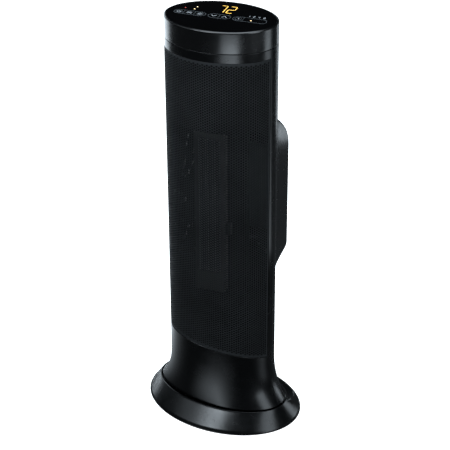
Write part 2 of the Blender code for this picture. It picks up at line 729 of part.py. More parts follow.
def make_drive_pinion(parent, material):
    """The motor's pinion and its shaft, drawn with a gap towards the fixed gear."""
    pitch = 2 * pi / PINION_TEETH
    centres = [pi + pitch * (k + 1 / 2) for k in range(PINION_TEETH)]
    outline = [point for centre in centres for point in tooth_outline(PINION_TEETH, centre)]
    low = DISH_Z + PINION_LIFT
    gear = prism_mesh("drive_pinion", outline, low, low + GEAR_THICKNESS)
    pinion = place_object("drive_pinion", gear, material, parent, smooth=False)
    shaft = [circle(PINION_SHAFT_RADIUS, low + GEAR_THICKNESS / 2), circle(PINION_SHAFT_RADIUS, PLATE_TOP)]
    carve(pinion, stacked_mesh("shaft", shaft), "UNION")
    return pinion


# Tower chassis

def make_turntable_plate(parent, material):
    def skirt_ring(z):
        return [tower_point(angle, z, WALL + FIT) for angle in oval_angles()]

    spindle_end = HUB_BOTTOM - FIT
    rings = [
        skirt_ring(FOOT_Z), skirt_ring(PLATE_TOP),
        oval(SPINDLE_BORE, SPINDLE_BORE, PLATE_TOP), oval(SPINDLE_BORE, SPINDLE_BORE, spindle_end),
        oval(SPINDLE_RADIUS, SPINDLE_RADIUS, spindle_end), oval(SPINDLE_RADIUS, SPINDLE_RADIUS, FOOT_Z),
    ]
    plate = place_object("turntable_plate", looped_mesh("turntable_plate", rings), material, parent)
    x, y = PINION_DISTANCE * cos(-TWIST), PINION_DISTANCE * sin(-TWIST)
    hole = [circle(PINION_SHAFT_RADIUS + FIT, z, x, y) for z in (FOOT_Z - OVERRUN, PLATE_TOP + OVERRUN)]
    carve(plate, stacked_mesh("shaft_hole", hole))
    return plate


def make_spindle_retainer(parent, material):
    high = HUB_BOTTOM - 2 * FIT
    low = high - RETAINER_THICKNESS
    rings = [circle(RETAINER_RADIUS, low), circle(RETAINER_RADIUS, high),
             circle(RETAINER_BORE, high), circle(RETAINER_BORE, low)]
    return place_object("spindle_retainer", looped_mesh("spindle_retainer", rings), material, parent)


def make_oscillation_motor(parent, material):
    x, y = PINION_DISTANCE * cos(-TWIST), PINION_DISTANCE * sin(-TWIST)
    low = PLATE_TOP + FIT
    high = low + OSCILLATION_MOTOR_HEIGHT
    rings = [circle(OSCILLATION_MOTOR_RADIUS, low, x, y), circle(OSCILLATION_MOTOR_RADIUS, high, x, y),
             circle(MOTOR_CAP_RADIUS, high, x, y), circle(MOTOR_CAP_RADIUS, high + MOTOR_CAP_HEIGHT, x, y)]
    mesh = stacked_mesh("oscillation_motor", rings)
    return place_object("oscillation_motor", mesh, material, parent)


# Tower shells

def make_front_frame(parent, material):
    """Top band, side columns and the front of the skirt, round the slanting grille opening."""
    left = pi + PARTING + GAP_ANGLE
    right = 2 * pi - PARTING - GAP_ANGLE
    window = [a for a in oval_angles() if pi + COLUMN_ANGLE < a < 2 * pi - COLUMN_ANGLE]
    columns = [left, pi + COLUMN_ANGLE] + window + [2 * pi - COLUMN_ANGLE, right]
    skirt = [FOOT_Z + FLARE_HEIGHT * share for share in SKIRT_ROW_SHARES]
    cut_row = len(skirt)
    rows = list(range(cut_row + 3))

    def place(angle, row, layer):
        if row < cut_row:
            z = skirt[row]
        else:
            z = (cut_height(angle), WINDOW_TOP, COLLAR_SEAM - SEAM / 2)[row - cut_row]
        return tower_point(angle, z, WALL * layer)

    def is_open(i, j):
        return j == cut_row and 0 < i < len(columns) - 2

    mesh = thick_mesh("front_frame", grid_pattern(columns, rows, is_open), place)
    return place_object("front_frame", mesh, material, parent)


def make_front_grille(parent, material):
    side = SEAM / HALF_WIDTH

    def place(u, v, layer):
        angle = pi + COLUMN_ANGLE + side + (pi - 2 * COLUMN_ANGLE - 2 * side) * u
        low = cut_height(angle) + SEAM
        z = low + (WINDOW_TOP - SEAM - low) * v
        depth = SEAM + GRILLE_THICKNESS * layer
        return tower_point(angle, z, depth)

    pattern = staggered_pattern(GRILLE_COLUMNS, GRILLE_ROWS, GRILLE_SIDE_SHARE, GRILLE_END_SHARE,
                                GRILLE_HOLE_SHARE)
    return place_object("front_grille", thick_mesh("front_grille", pattern, place), material, parent)


def housing_swell(z):
    """How far out the rear housing stands at a height, from 0 on the tower to 1 at its full depth."""
    if z >= HOUSING_TOP or z <= HOUSING_BOTTOM:
        return 0.0
    top = min(1.0, (HOUSING_TOP - z) / HOUSING_SHOULDER_TOP)
    bottom = min(1.0, (z - HOUSING_BOTTOM) / HOUSING_SHOULDER_BOTTOM)
    return (1 - (1 - top) ** SHOULDER_POWER) * (1 - (1 - bottom) ** SHOULDER_POWER)


def make_rear_shell(parent, material):
    """The back of the tower, with its skirt, the swollen rear housing and the intake opening."""
    side_angle = acos(HOUSING_HALF_WIDTH / HALF_WIDTH)
    side_y = HALF_DEPTH * sin(side_angle)
    corner_y = HOUSING_BACK - HOUSING_CORNER
    corner_x = HOUSING_HALF_WIDTH - HOUSING_CORNER

    def housing_spot(station, depth):
        """Plan of the housing at stations 0 to 4: side wall, corner, back, intake's edge and middle."""
        if station <= 1:
            return HOUSING_HALF_WIDTH - depth, side_y + (corner_y - side_y) * station
        if station <= 2:
            angle = (station - 1) * pi / 2
            radius = HOUSING_CORNER - depth
            return corner_x + radius * cos(angle), corner_y + radius * sin(angle)
        if station <= 3:
            return corner_x + (INTAKE_HALF_WIDTH - corner_x) * (station - 2), HOUSING_BACK - depth
        return INTAKE_HALF_WIDTH * (4 - station), HOUSING_BACK - depth

    quarter = [a for a in oval_angles() if a <= pi / 2]
    near = [a for a in quarter if a < side_angle - STATION_MARGIN]
    far = [a for a in quarter if a > side_angle]
    half = [(angle, None) for angle in [-PARTING] + near] + [(side_angle, 0.0)]
    half += list(zip(far, HOUSING_STATION_SHARES))
    full = half + [(pi - angle, station) for angle, station in reversed(half[:-1])]

    shares = (0.0,) + SHOULDER_ROW_SHARES
    bump_low = [HOUSING_BOTTOM + HOUSING_SHOULDER_BOTTOM * share for share in shares]
    bump_high = [HOUSING_TOP - HOUSING_SHOULDER_TOP * share for share in reversed(shares)]
    skirt = [FOOT_Z + FLARE_HEIGHT * share for share in SKIRT_ROW_SHARES]
    rows = skirt + bump_low + [INTAKE_BOTTOM, INTAKE_TOP] + bump_high + [COLLAR_SEAM - SEAM / 2]

    def place(column, row, layer):
        angle, station = full[column]
        z = rows[row]
        depth = WALL * layer
        x, y, z = tower_point(angle, z, depth)
        swell = housing_swell(z)
        if station is None or swell == 0:
            return x, y, z
        side = 1 if angle <= pi / 2 else -1
        hx, hy = housing_spot(station, depth)
        return x + (side * hx - x) * swell, y + (hy - y) * swell, z

    window_column = len(half) - 2

    def is_open(i, j):
        return rows[j] == INTAKE_BOTTOM and window_column <= i <= window_column + 1

    pattern = grid_pattern(list(range(len(full))), list(range(len(rows))), is_open)
    mesh = thick_mesh("rear_shell", pattern, place)
    return place_object("rear_shell", mesh, material, parent)


def make_intake_grille(parent, material):
    """A slotted cover that fills the opening in the rear housing."""
    half_width = INTAKE_HALF_WIDTH - SEAM
    low, high = INTAKE_BOTTOM + SEAM, INTAKE_TOP - SEAM
    columns = opening_lines(INTAKE_COLUMNS, INTAKE_COLUMN_SHARE)
    rows = opening_lines(INTAKE_ROWS, INTAKE_ROW_SHARE)

    def place(u, v, layer):
        return half_width * (2 * u - 1), HOUSING_BACK - INTAKE_THICKNESS * layer, low + (high - low) * v

    mesh = thick_mesh("intake_grille", grid_pattern(columns, rows, in_opening), place)
    return place_object("intake_grille", mesh, material, parent, smooth=False)


def make_filter_screen(parent, material):
    """The lift-out dust filter behind the intake: a bordered screen on upright bars."""
    half_width = INTAKE_HALF_WIDTH - SEAM
    low, high = INTAKE_BOTTOM + SEAM, INTAKE_TOP - SEAM
    side = FILTER_BORDER / (2 * half_width)
    end = FILTER_BORDER / (high - low)
    middle = FILTER_MIDDLE_BAR / (2 * (high - low))
    columns = opening_lines(FILTER_BARS, FILTER_OPEN_SHARE, side, 1 - side)
    rows = [0.0, end, 1 / 2 - middle, 1 / 2 + middle, 1 - end, 1.0]
    back = HOUSING_BACK - INTAKE_THICKNESS - FIT

    def place(u, v, layer):
        return half_width * (2 * u - 1), back - FILTER_THICKNESS * layer, low + (high - low) * v

    mesh = thick_mesh("filter_screen", grid_pattern(columns, rows, in_opening), place)
    return place_object("filter_screen", mesh, material, parent, smooth=False)


# Collar and controls

def make_top_collar(parent, material):
    def ring(inset, z):
        return oval(HALF_WIDTH - inset, HALF_DEPTH - inset, z)

    low = COLLAR_SEAM + SEAM / 2
    ledge = HEIGHT - LEDGE_DROP
    under = ledge - LEDGE_THICKNESS
    rings = [ring(0, low), ring(0, HEIGHT - COLLAR_BEVEL), ring(COLLAR_BEVEL, HEIGHT),
             ring(COLLAR_RIM, HEIGHT), ring(COLLAR_RIM, ledge), ring(LEDGE_WIDTH, ledge),
             ring(LEDGE_WIDTH, under),
             ring(WALL, under - (LEDGE_WIDTH - WALL)), ring(WALL, low)]
    return place_object("top_collar", looped_mesh("top_collar", rings), material, parent)


def make_control_panel(parent, material):
    def ring(inset, z):
        return oval(HALF_WIDTH - COLLAR_RIM - FIT - inset, HALF_DEPTH - COLLAR_RIM - FIT - inset, z)

    top = HEIGHT - PANEL_DROP
    rings = [ring(0, HEIGHT - LEDGE_DROP + FIT), ring(0, top - PANEL_EDGE), ring(PANEL_EDGE, top)]
    return place_object("control_panel", stacked_mesh("control_panel", rings), material, parent)


def make_display_board(parent, material):
    inset = LEDGE_WIDTH + FIT
    high = HEIGHT - LEDGE_DROP - PANEL_THICKNESS / 2
    rings = [oval(HALF_WIDTH - inset, HALF_DEPTH - inset, high - DISPLAY_BOARD_THICKNESS),
             oval(HALF_WIDTH - inset, HALF_DEPTH - inset, high)]
    return place_object("display_board", stacked_mesh("display_board", rings), material, parent)


def make_led_display(parent, material):
    low = HEIGHT - LEDGE_DROP - PANEL_THICKNESS / 2 + FIT
    high = HEIGHT - LEDGE_DROP
    mesh = box_mesh("led_display", (-DISPLAY_WIDTH / 2, DISPLAY_Y - DISPLAY_DEPTH / 2, low),
                    (DISPLAY_WIDTH / 2, DISPLAY_Y + DISPLAY_DEPTH / 2, high))
    return place_object("led_display", mesh, material, parent, smooth=False)


# Air path

def make_bulkhead(name, parent, material, low, hole_radius):
    inset = WALL + FIT
    high = low + BULKHEAD_THICKNESS
    rings = [oval(HALF_WIDTH - inset, HALF_DEPTH - inset, low),
             oval(HALF_WIDTH - inset, HALF_DEPTH - inset, high),
             oval(hole_radius, hole_radius, high, BLOWER_Y), oval(hole_radius, hole_radius, low, BLOWER_Y)]
    return place_object(name, looped_mesh(name, rings), material, parent)


def scroll_radius(share):
    return WHEEL_RADIUS + SCROLL_TIP_GAP + SCROLL_GROWTH * share


def make_scroll_wall(parent, material):
    """The long curved wall that leads the air round the wheel and out to the element."""
    mouth_x = ELEMENT_HALF_WIDTH - SCROLL_WALL
    mouth_y = -ELEMENT_BACK + FIT
    outer = [(mouth_x + SCROLL_WALL, mouth_y)]
    inner = [(mouth_x, mouth_y)]
    for k, angle in enumerate(spread(SCROLL_START, SCROLL_END, SCROLL_STEPS + 1)):
        radius = scroll_radius(k / SCROLL_STEPS)
        inner.append((radius * cos(angle), BLOWER_Y + radius * sin(angle)))
        radius += SCROLL_WALL
        outer.append((radius * cos(angle), BLOWER_Y + radius * sin(angle)))
    mesh = prism_mesh("scroll_wall", outer + list(reversed(inner)), SCROLL_LOW, SCROLL_HIGH)
    return place_object("scroll_wall", mesh, material, parent)


def make_scroll_tongue(parent, material):
    """The short wall on the other side, which parts the intake from the outlet."""
    mouth_x = -(ELEMENT_HALF_WIDTH - SCROLL_WALL)
    mouth_y = -ELEMENT_BACK + FIT
    outer = [(mouth_x - SCROLL_WALL, mouth_y)]
    inner = [(mouth_x, mouth_y)]
    for angle in spread(TONGUE_START, TONGUE_END, TONGUE_STEPS + 1):
        radius = scroll_radius(0)
        inner.append((radius * cos(angle), BLOWER_Y + radius * sin(angle)))
        radius += SCROLL_WALL
        outer.append((radius * cos(angle), BLOWER_Y + radius * sin(angle)))
    mesh = prism_mesh("scroll_tongue", outer + list(reversed(inner)), SCROLL_LOW, SCROLL_HIGH)
    return place_object("scroll_tongue", mesh, material, parent)


def make_blower_motor(parent, material):
    low = BULKHEAD_LOW - FIT - BLOWER_MOTOR_HEIGHT
    high = BULKHEAD_LOW - FIT
    soft = BLOWER_MOTOR_ROUND
    bore = SHAFT_RADIUS + FIT
    profile = [(bore, low), (BLOWER_MOTOR_RADIUS - soft, low), (BLOWER_MOTOR_RADIUS, low + soft),
               (BLOWER_MOTOR_RADIUS, high - soft), (BLOWER_MOTOR_RADIUS - soft, high), (bore, high)]
    rings = [circle(radius, z, 0, BLOWER_Y) for radius, z in profile]
    return place_object("blower_motor", looped_mesh("blower_motor", rings), material, parent)


def make_upper_bearing(parent, material):
    low = BULKHEAD_HIGH + BULKHEAD_THICKNESS + FIT
    bore = SHAFT_RADIUS + FIT
    profile = [(bore, low), (BEARING_FLANGE_RADIUS, low), (BEARING_FLANGE_RADIUS, low + BEARING_FLANGE),
               (BEARING_RADIUS, low + BEARING_FLANGE), (BEARING_RADIUS, low + BEARING_HEIGHT),
               (bore, low + BEARING_HEIGHT)]
    rings = [circle(radius, z, 0, BLOWER_Y) for radius, z in profile]
    return place_object("upper_bearing", looped_mesh("upper_bearing", rings), material, parent)


def blade_outline(angle):
    """One forward-curved blade of the wheel, in plan, bedded a little into the discs' rims."""
    inner_radius = WHEEL_BORE_RADIUS + BLADE_BITE
    outer_radius = WHEEL_RADIUS - BLADE_BITE
    middle = (inner_radius + outer_radius) / 2
    spine = ((inner_radius, angle), (middle, angle + BLADE_BEND), (outer_radius, angle + BLADE_SWEEP))
    half = BLADE_THICKNESS / 2
    front, back = [], []
    for radius, turn in spine:
        side = half / radius
        front.append((radius * cos(turn - side), radius * sin(turn - side)))
        back.append((radius * cos(turn + side), radius * sin(turn + side)))
    return front + list(reversed(back))


def make_blower_wheel(parent, material):
    """A cross-flow wheel: end discs on hubs and a rim between them, all joined by curved blades."""
    bore = SHAFT_RADIUS + FIT
    middle = (WHEEL_LOW + WHEEL_HIGH) / 2
    hub_low, hub_high = WHEEL_LOW + WHEEL_HUB_LENGTH, WHEEL_HIGH - WHEEL_HUB_LENGTH
    low_disc = ((bore, WHEEL_LOW), (WHEEL_RADIUS, WHEEL_LOW), (WHEEL_RADIUS, WHEEL_LOW + WHEEL_DISC),
                (WHEEL_HUB_RADIUS, WHEEL_LOW + WHEEL_DISC), (WHEEL_HUB_RADIUS, hub_low), (bore, hub_low))
    high_disc = ((bore, WHEEL_HIGH), (WHEEL_RADIUS, WHEEL_HIGH), (WHEEL_RADIUS, WHEEL_HIGH - WHEEL_DISC),
                 (WHEEL_HUB_RADIUS, WHEEL_HIGH - WHEEL_DISC), (WHEEL_HUB_RADIUS, hub_high), (bore, hub_high))
    rim = ((WHEEL_BORE_RADIUS, middle), (WHEEL_RADIUS, middle), (WHEEL_RADIUS, middle + WHEEL_DISC),
           (WHEEL_BORE_RADIUS, middle + WHEEL_DISC))
    discs = bmesh.new()
    for profile in (low_disc, high_disc, rim):
        discs.from_mesh(looped_mesh("disc", [circle(radius, z, sides=WHEEL_SIDES) for radius, z in profile]))
    mesh = bpy.data.meshes.new("blower_wheel")
    discs.to_mesh(mesh)
    discs.free()
    wheel = place_object("blower_wheel", mesh, material, parent)
    blades = bmesh.new()
    bite = WHEEL_DISC / 2
    for k in range(WHEEL_BLADES):
        outline = blade_outline(2 * pi * k / WHEEL_BLADES)
        blades.from_mesh(prism_mesh("blade", outline, WHEEL_LOW + bite, WHEEL_HIGH - bite))
    blade_mesh = bpy.data.meshes.new("blades")
    blades.to_mesh(blade_mesh)
    blades.free()
    carve(wheel, blade_mesh, "UNION")
    return wheel


def make_blower_shaft(parent, material):
    rings = [circle(SHAFT_RADIUS, SHAFT_BOTTOM), circle(SHAFT_RADIUS, SHAFT_TOP)]
    return place_object("blower_shaft", stacked_mesh("blower_shaft", rings), material, parent)


# Heating element

def make_element_frame(parent, material):
    """The heat-proof frame round the element, standing between the bulkheads."""
    side = ELEMENT_SIDE_BAR / (2 * ELEMENT_HALF_WIDTH)
    low_bar = ELEMENT_LOW_BAR / (SCROLL_HIGH - SCROLL_LOW)
    high_bar = ELEMENT_HIGH_BAR / (SCROLL_HIGH - SCROLL_LOW)

    def place(u, v, layer):
        y = -ELEMENT_FRONT + (ELEMENT_FRONT - ELEMENT_BACK) * layer
        return ELEMENT_HALF_WIDTH * (2 * u - 1), y, SCROLL_LOW + (SCROLL_HIGH - SCROLL_LOW) * v

    pattern = grid_pattern([0.0, side, 1 - side, 1.0], [0.0, low_bar, 1 - high_bar, 1.0], in_opening)
    frame = thick_mesh("element_frame", pattern, place)
    return place_object("element_frame", frame, material, parent, smooth=False)


def make_element_fins(parent, material):
    """The ceramic element's bank of fins: upright bars with a ladder of fins between them."""
    half_width = ELEMENT_HALF_WIDTH - ELEMENT_SIDE_BAR - FIT
    low = SCROLL_LOW + ELEMENT_LOW_BAR + FIT
    high = SCROLL_HIGH - ELEMENT_HIGH_BAR - FIT
    columns = opening_lines(FIN_COLUMNS, FIN_HOLE_SHARE)
    rows = opening_lines(FIN_ROWS, FIN_HOLE_SHARE)

    def place(u, v, layer):
        front, back = -ELEMENT_FRONT + FIN_INSET, -ELEMENT_BACK - FIN_INSET
        return half_width * (2 * u - 1), front + (back - front) * layer, low + (high - low) * v

    fins = thick_mesh("element_fins", grid_pattern(columns, rows, in_opening), place)
    return place_object("element_fins", fins, material, parent, smooth=False)


def make_thermal_cutout(parent, material):
    x = ELEMENT_HALF_WIDTH + FIT
    y = -(ELEMENT_FRONT + ELEMENT_BACK) / 2
    mesh = box_mesh("thermal_cutout", (x, y - CUTOUT_DEPTH / 2, CUTOUT_Z),
                    (x + CUTOUT_WIDTH, y + CUTOUT_DEPTH / 2, CUTOUT_Z + CUTOUT_HEIGHT))
    return place_object("thermal_cutout", mesh, material, parent, smooth=False)


# Power electronics in the skirt

def make_board_bracket(parent, material):
    """A U-shaped rail on the turntable that holds the board's lower edge."""
    low = PLATE_TOP + FIT
    middle = BOARD_Y + BOARD_THICKNESS / 2
    slot = BOARD_THICKNESS / 2 + FIT
    outline = [(middle - BRACKET_HALF_DEPTH, low), (middle + BRACKET_HALF_DEPTH, low),
               (middle + BRACKET_HALF_DEPTH, low + BRACKET_HEIGHT), (middle + slot, low + BRACKET_HEIGHT),
               (middle + slot, low + BRACKET_FLOOR), (middle - slot, low + BRACKET_FLOOR),
               (middle - slot, low + BRACKET_HEIGHT), (middle - BRACKET_HALF_DEPTH, low + BRACKET_HEIGHT)]
    rings = [[(x, y, z) for y, z in outline] for x in (-BOARD_HALF_WIDTH, BOARD_HALF_WIDTH)]
    return place_object("board_bracket", stacked_mesh("board_bracket", rings), material, parent, smooth=False)


def make_power_board(parent, material):
    low = PLATE_TOP + 2 * FIT + BRACKET_FLOOR
    mesh = box_mesh("power_board", (-BOARD_HALF_WIDTH, BOARD_Y, low),
                    (BOARD_HALF_WIDTH, BOARD_Y + BOARD_THICKNESS, low + BOARD_HEIGHT))
    return place_object("power_board", mesh, material, parent, smooth=False)


def make_main_relay(parent, material):
    back = BOARD_Y - FIT
    mesh = box_mesh("main_relay", (RELAY_X - RELAY_WIDTH / 2, back - RELAY_DEPTH, RELAY_Z),
                    (RELAY_X + RELAY_WIDTH / 2, back, RELAY_Z + RELAY_HEIGHT))
    return place_object("main_relay", mesh, material, parent, smooth=False)


def make_filter_capacitor(parent, material):
    back = BOARD_Y - FIT
    ends = [[(CAPACITOR_X + x, y, CAPACITOR_Z + rise) for x, rise, _ in circle(CAPACITOR_RADIUS, 0, sides=16)]
            for y in (back - CAPACITOR_LENGTH, back)]
    return place_object("filter_capacitor", stacked_mesh("filter_capacitor", ends), material, parent)


def build():
    clear_scene()
    paint = make_materials()
    base = make_empty("base")
    tower = make_empty("tower", base, turn=TWIST)
    blower = make_empty("blower_axis", tower, (0, BLOWER_Y, 0))
    pinion_place = (PINION_DISTANCE * cos(-TWIST), PINION_DISTANCE * sin(-TWIST), 0)
    pinion = make_empty("pinion_axis", tower, pinion_place, -TWIST)

    make_base_ring(base, paint["satin_black"])
    make_bottom_cover(base, paint["inner_plastic"])
    make_feet(base, paint["rubber"])
    make_counterweight(base, paint["steel"])
    make_cord_gland(base, paint["rubber"])
    make_thrust_washer(base, paint["bearing_plastic"])
    make_sector_gear(base, paint["bearing_plastic"])
    make_tip_over_switch(base, paint["inner_plastic"])
    make_tip_over_plunger(base, paint["bearing_plastic"])

    make_turntable_plate(tower, paint["inner_plastic"])
    make_spindle_retainer(tower, paint["steel"])
    make_oscillation_motor(tower, paint["steel"])
    make_drive_pinion(pinion, paint["bearing_plastic"])

    make_front_frame(tower, paint["satin_black"])
    make_front_grille(tower, paint["grille_black"])
    make_rear_shell(tower, paint["satin_black"])
    make_intake_grille(tower, paint["satin_black"])
    make_filter_screen(tower, paint["filter_mesh"])

    make_top_collar(tower, paint["satin_black"])
    make_control_panel(tower, paint["gloss_black"])
    make_display_board(tower, paint["circuit_board"])
    make_led_display(tower, paint["display"])

    make_bulkhead("lower_bulkhead", tower, paint["inner_plastic"], BULKHEAD_LOW, SHAFT_HOLE_RADIUS)
    make_bulkhead("upper_bulkhead", tower, paint["inner_plastic"], BULKHEAD_HIGH, SHAFT_HOLE_RADIUS)
    make_scroll_wall(tower, paint["inner_plastic"])
    make_scroll_tongue(tower, paint["inner_plastic"])
    make_blower_motor(tower, paint["steel"])
    make_upper_bearing(tower, paint["bearing_plastic"])
    make_blower_wheel(blower, paint["inner_plastic"])
    make_blower_shaft(blower, paint["steel"])

    make_element_frame(tower, paint["bearing_plastic"])
    make_element_fins(tower, paint["aluminium"])
    make_thermal_cutout(tower, paint["steel"])

    make_board_bracket(tower, paint["inner_plastic"])
    make_power_board(tower, paint["circuit_board"])
    make_main_relay(tower, paint["inner_plastic"])
    make_filter_capacitor(tower, paint["steel"])


build()
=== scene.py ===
"""Looks of an oscillating tower heater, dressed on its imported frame. Metres, +Z up, front towards -Y."""

from bisect import bisect_left
from math import acos, cos, hypot, pi, radians, sin

import bpy
from mathutils import Matrix, Vector

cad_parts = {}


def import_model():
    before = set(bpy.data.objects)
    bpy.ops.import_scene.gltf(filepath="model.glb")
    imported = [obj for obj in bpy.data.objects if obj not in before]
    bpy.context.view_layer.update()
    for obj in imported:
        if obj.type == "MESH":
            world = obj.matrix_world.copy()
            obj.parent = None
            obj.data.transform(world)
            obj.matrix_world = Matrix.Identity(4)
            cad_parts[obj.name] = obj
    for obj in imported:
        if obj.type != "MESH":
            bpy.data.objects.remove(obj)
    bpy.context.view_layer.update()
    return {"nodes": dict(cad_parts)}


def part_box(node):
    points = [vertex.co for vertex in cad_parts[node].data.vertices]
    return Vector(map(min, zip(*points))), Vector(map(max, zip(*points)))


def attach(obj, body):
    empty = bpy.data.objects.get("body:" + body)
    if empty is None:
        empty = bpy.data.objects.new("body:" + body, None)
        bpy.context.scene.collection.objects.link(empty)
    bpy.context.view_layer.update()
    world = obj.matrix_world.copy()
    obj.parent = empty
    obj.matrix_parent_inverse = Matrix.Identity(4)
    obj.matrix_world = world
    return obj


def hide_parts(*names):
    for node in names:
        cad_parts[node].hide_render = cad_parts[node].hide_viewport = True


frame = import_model()

# The tower, sizes shared with the frame. Its own frame is turned by TWIST against the base's.
TWIST = radians(10.14)
HEIGHT = 0.585
HALF_WIDTH = 0.0746
HALF_DEPTH = 0.0529
WALL = 0.0025
SEAM = 0.0004
PARTING = radians(7.5)
PARTING_GAP = 0.0003 / HALF_WIDTH
COLUMN_ANGLE = radians(16.5)
COLLAR_SEAM = 0.5563
HOUSING_RIM = COLLAR_SEAM - SEAM / 2
SOFT_EDGE = 0.0004
SOFTENED_ANGLE = radians(40)
OVAL_SIDES = 180

# The skirt, which flares and twists into the foot
FOOT_HALF_WIDTH = 0.0952
FOOT_HALF_DEPTH = 0.0531
FOOT_Z = 0.0270
FLARE_TOP = 0.0960
FLARE_POWER = 2.9
TWIST_POWER = 2.0
SKIRT_STEPS = 22
SKIRT_CROWDING = 1.25
SKIRT_ROWS = [FOOT_Z + (FLARE_TOP - FOOT_Z) * (k / SKIRT_STEPS) ** SKIRT_CROWDING
              for k in range(SKIRT_STEPS + 1)]

# The front window: its aslant lower edge, the pierced sheet in it and the lining behind it
WINDOW_TOP = 0.5440
CUT_HEIGHT, CUT_SLOPE_X, CUT_SLOPE_Y = 0.1094, -0.186, -0.180
GRILLE_DEPTH, GRILLE_SHEET = 0.0006, 0.0007
HOLES_UP, HOLES_ACROSS = 116, 53
BORDER_END, BORDER_SIDE = 0.006, 0.012
HOLE_SHARE_UP, HOLE_SHARE_ACROSS = 0.86, 0.50
LINING_DEPTH, LINING_SHEET = 0.0034, 0.0006
LINING_TUCK = radians(4)
LINING_COLUMNS, LINING_ROWS = 73, 13
LININGS = (("upper_lining", 0.4490, 0.5520), ("lower_lining", 0.0850, 0.2074))

# The blower's bulge at the back, its intake and filter, and the heater's fins
HOUSING_HALF_WIDTH = 0.0660
HOUSING_BACK = 0.0957
HOUSING_CORNER = 0.0150
HOUSING_TOP = 0.4410
HOUSING_BOTTOM = 0.2070
SHOULDER_TOP = 0.0630
SHOULDER_BOTTOM = 0.0200
SHOULDER_POWER = 2.2
SHOULDER_STEPS = 16
SHOULDER_CROWDING = 1.7
INTAKE_HALF_WIDTH = 0.0440
INTAKE_BOTTOM = 0.2370
INTAKE_TOP = 0.3690
INTAKE_SET_IN, INTAKE_SHEET = 0.0002, 0.0018
INTAKE_COLUMNS, INTAKE_SLOTS = 3, 24
FILTER_BACK = HOUSING_BACK - 0.0026
FILTER_SIDE_GAP, FILTER_END_GAP = 0.0002, 0.0006
FILTER_DIP, FILTER_PLEAT, FILTER_CLOTH, FILTER_BORDER = 0.0003, 0.0006, 0.0002, 0.0010
FIN_HALF_WIDTH = 0.0156
FIN_FRONT, FIN_BACK = -0.0454, -0.0346
FIN_GAPS, FIN_PLEATS = 3, 58

# The top: the panel's glass, and the marks on it in the tower's own frame
PANEL_TOP = 0.5846
PANEL_INSET = 0.0023
MARK_TOP, MARK_SHEET = 0.00005, 0.00008
KEY_LOW, KEY_HIGH = -0.0066, 0.0064
KEY_FIELDS = ((-0.0625, -0.0205), (-0.0170, 0.0125), (0.0160, 0.0600))
KEY_DIVIDERS = (-0.0495, -0.0352, -0.0025, 0.0293)
DIVIDER_INSET = 0.0012
HAIRLINE = 0.0003
ICON_STROKE = 0.0006
ICON_RADIUS = 0.0041
POWER_X, SWING_X, HEAT_X, TIMER_X = -0.0560, -0.0425, -0.0280, 0.0228
HOURS = (("1", 0.0322), ("2", 0.0388), ("4", 0.0456), ("8", 0.0524))
HOUR_LOW, HOUR_WIDTH, HOUR_HEIGHT, HOUR_STROKE = 0.0100, 0.0019, 0.0040, 0.0007
FIGURES = (("7", -0.0112), ("2", 0.0012))
FIGURE_LOW, FIGURE_WIDTH, FIGURE_HEIGHT, FIGURE_STROKE = 0.0135, 0.0084, 0.0225, 0.0010
MODE_LAMPS = ((-0.0403, 0.0137), (-0.0395, 0.0217), (0.0400, -0.0012))
STANDBY_LAMP = (-0.0530, 0.0148)
LAMP_RADIUS = 0.0008

SEGMENT_ENDS = {
    "a": ((0, 1), (1, 1)), "b": ((1, 1), (1, 0.5)), "c": ((1, 0.5), (1, 0)), "d": ((1, 0), (0, 0)),
    "e": ((0, 0), (0, 0.5)), "f": ((0, 0.5), (0, 1)), "g": ((0, 0.5), (1, 0.5)),
}
DIGITS = {"1": "bc", "2": "abged", "4": "fgbc", "7": "abc", "8": "abcdefg"}

# The base ring, its scooped shelf and its hub
RING_SIDES = 200
LIP = (0.0985, 0.0580)
LIP_HEIGHT = 0.0262
RIM = (0.1144, 0.0850)
RIM_HEIGHT = 0.0030
RING_SET_BACK = 0.0047
KNEE, KNEE_DROP = 0.9, 0.86
SCOOP_START, SCOOP_BLEND = radians(11), radians(29)
SCOOP_FLOOR = 0.0090
DISH_Z, DISH_UNDERSIDE = 0.0190, 0.0165
HUB_RADIUS, HUB_TOP, HUB_BOTTOM = 0.0240, 0.0252, 0.0142
BEARING_RADIUS = 0.0148
COVER_SEAT, RING_UNDERSIDE = 0.0039, 0.0010
NOTCH_HALF_WIDTH, NOTCH_BACK, NOTCH_LOW, NOTCH_HIGH = 0.0080, 0.0950, 0.0060, 0.0300
NOTCH_FACE = LIP[1] + 0.0016
GLAND_RADIUS, GLAND_Z, GLAND_SIDES = 0.0046, 0.0117, 40
GLAND_FRONT, GLAND_BACK = NOTCH_FACE - 0.0140, NOTCH_FACE + 0.0040

# The photograph's camera, in pixels of its square picture
PICTURE = 450
FOCAL_LENGTH = 1496.583
CENTRE_X, CENTRE_Y = 222.024, 220.809
CAMERA_AZIMUTH = radians(20.01) + TWIST
CAMERA_PITCH = radians(29.178)
CAMERA_ROLL = radians(0.296)
CAMERA_DISTANCE = 2.010304
CAMERA_REACH = 60
SENSOR = 36.0

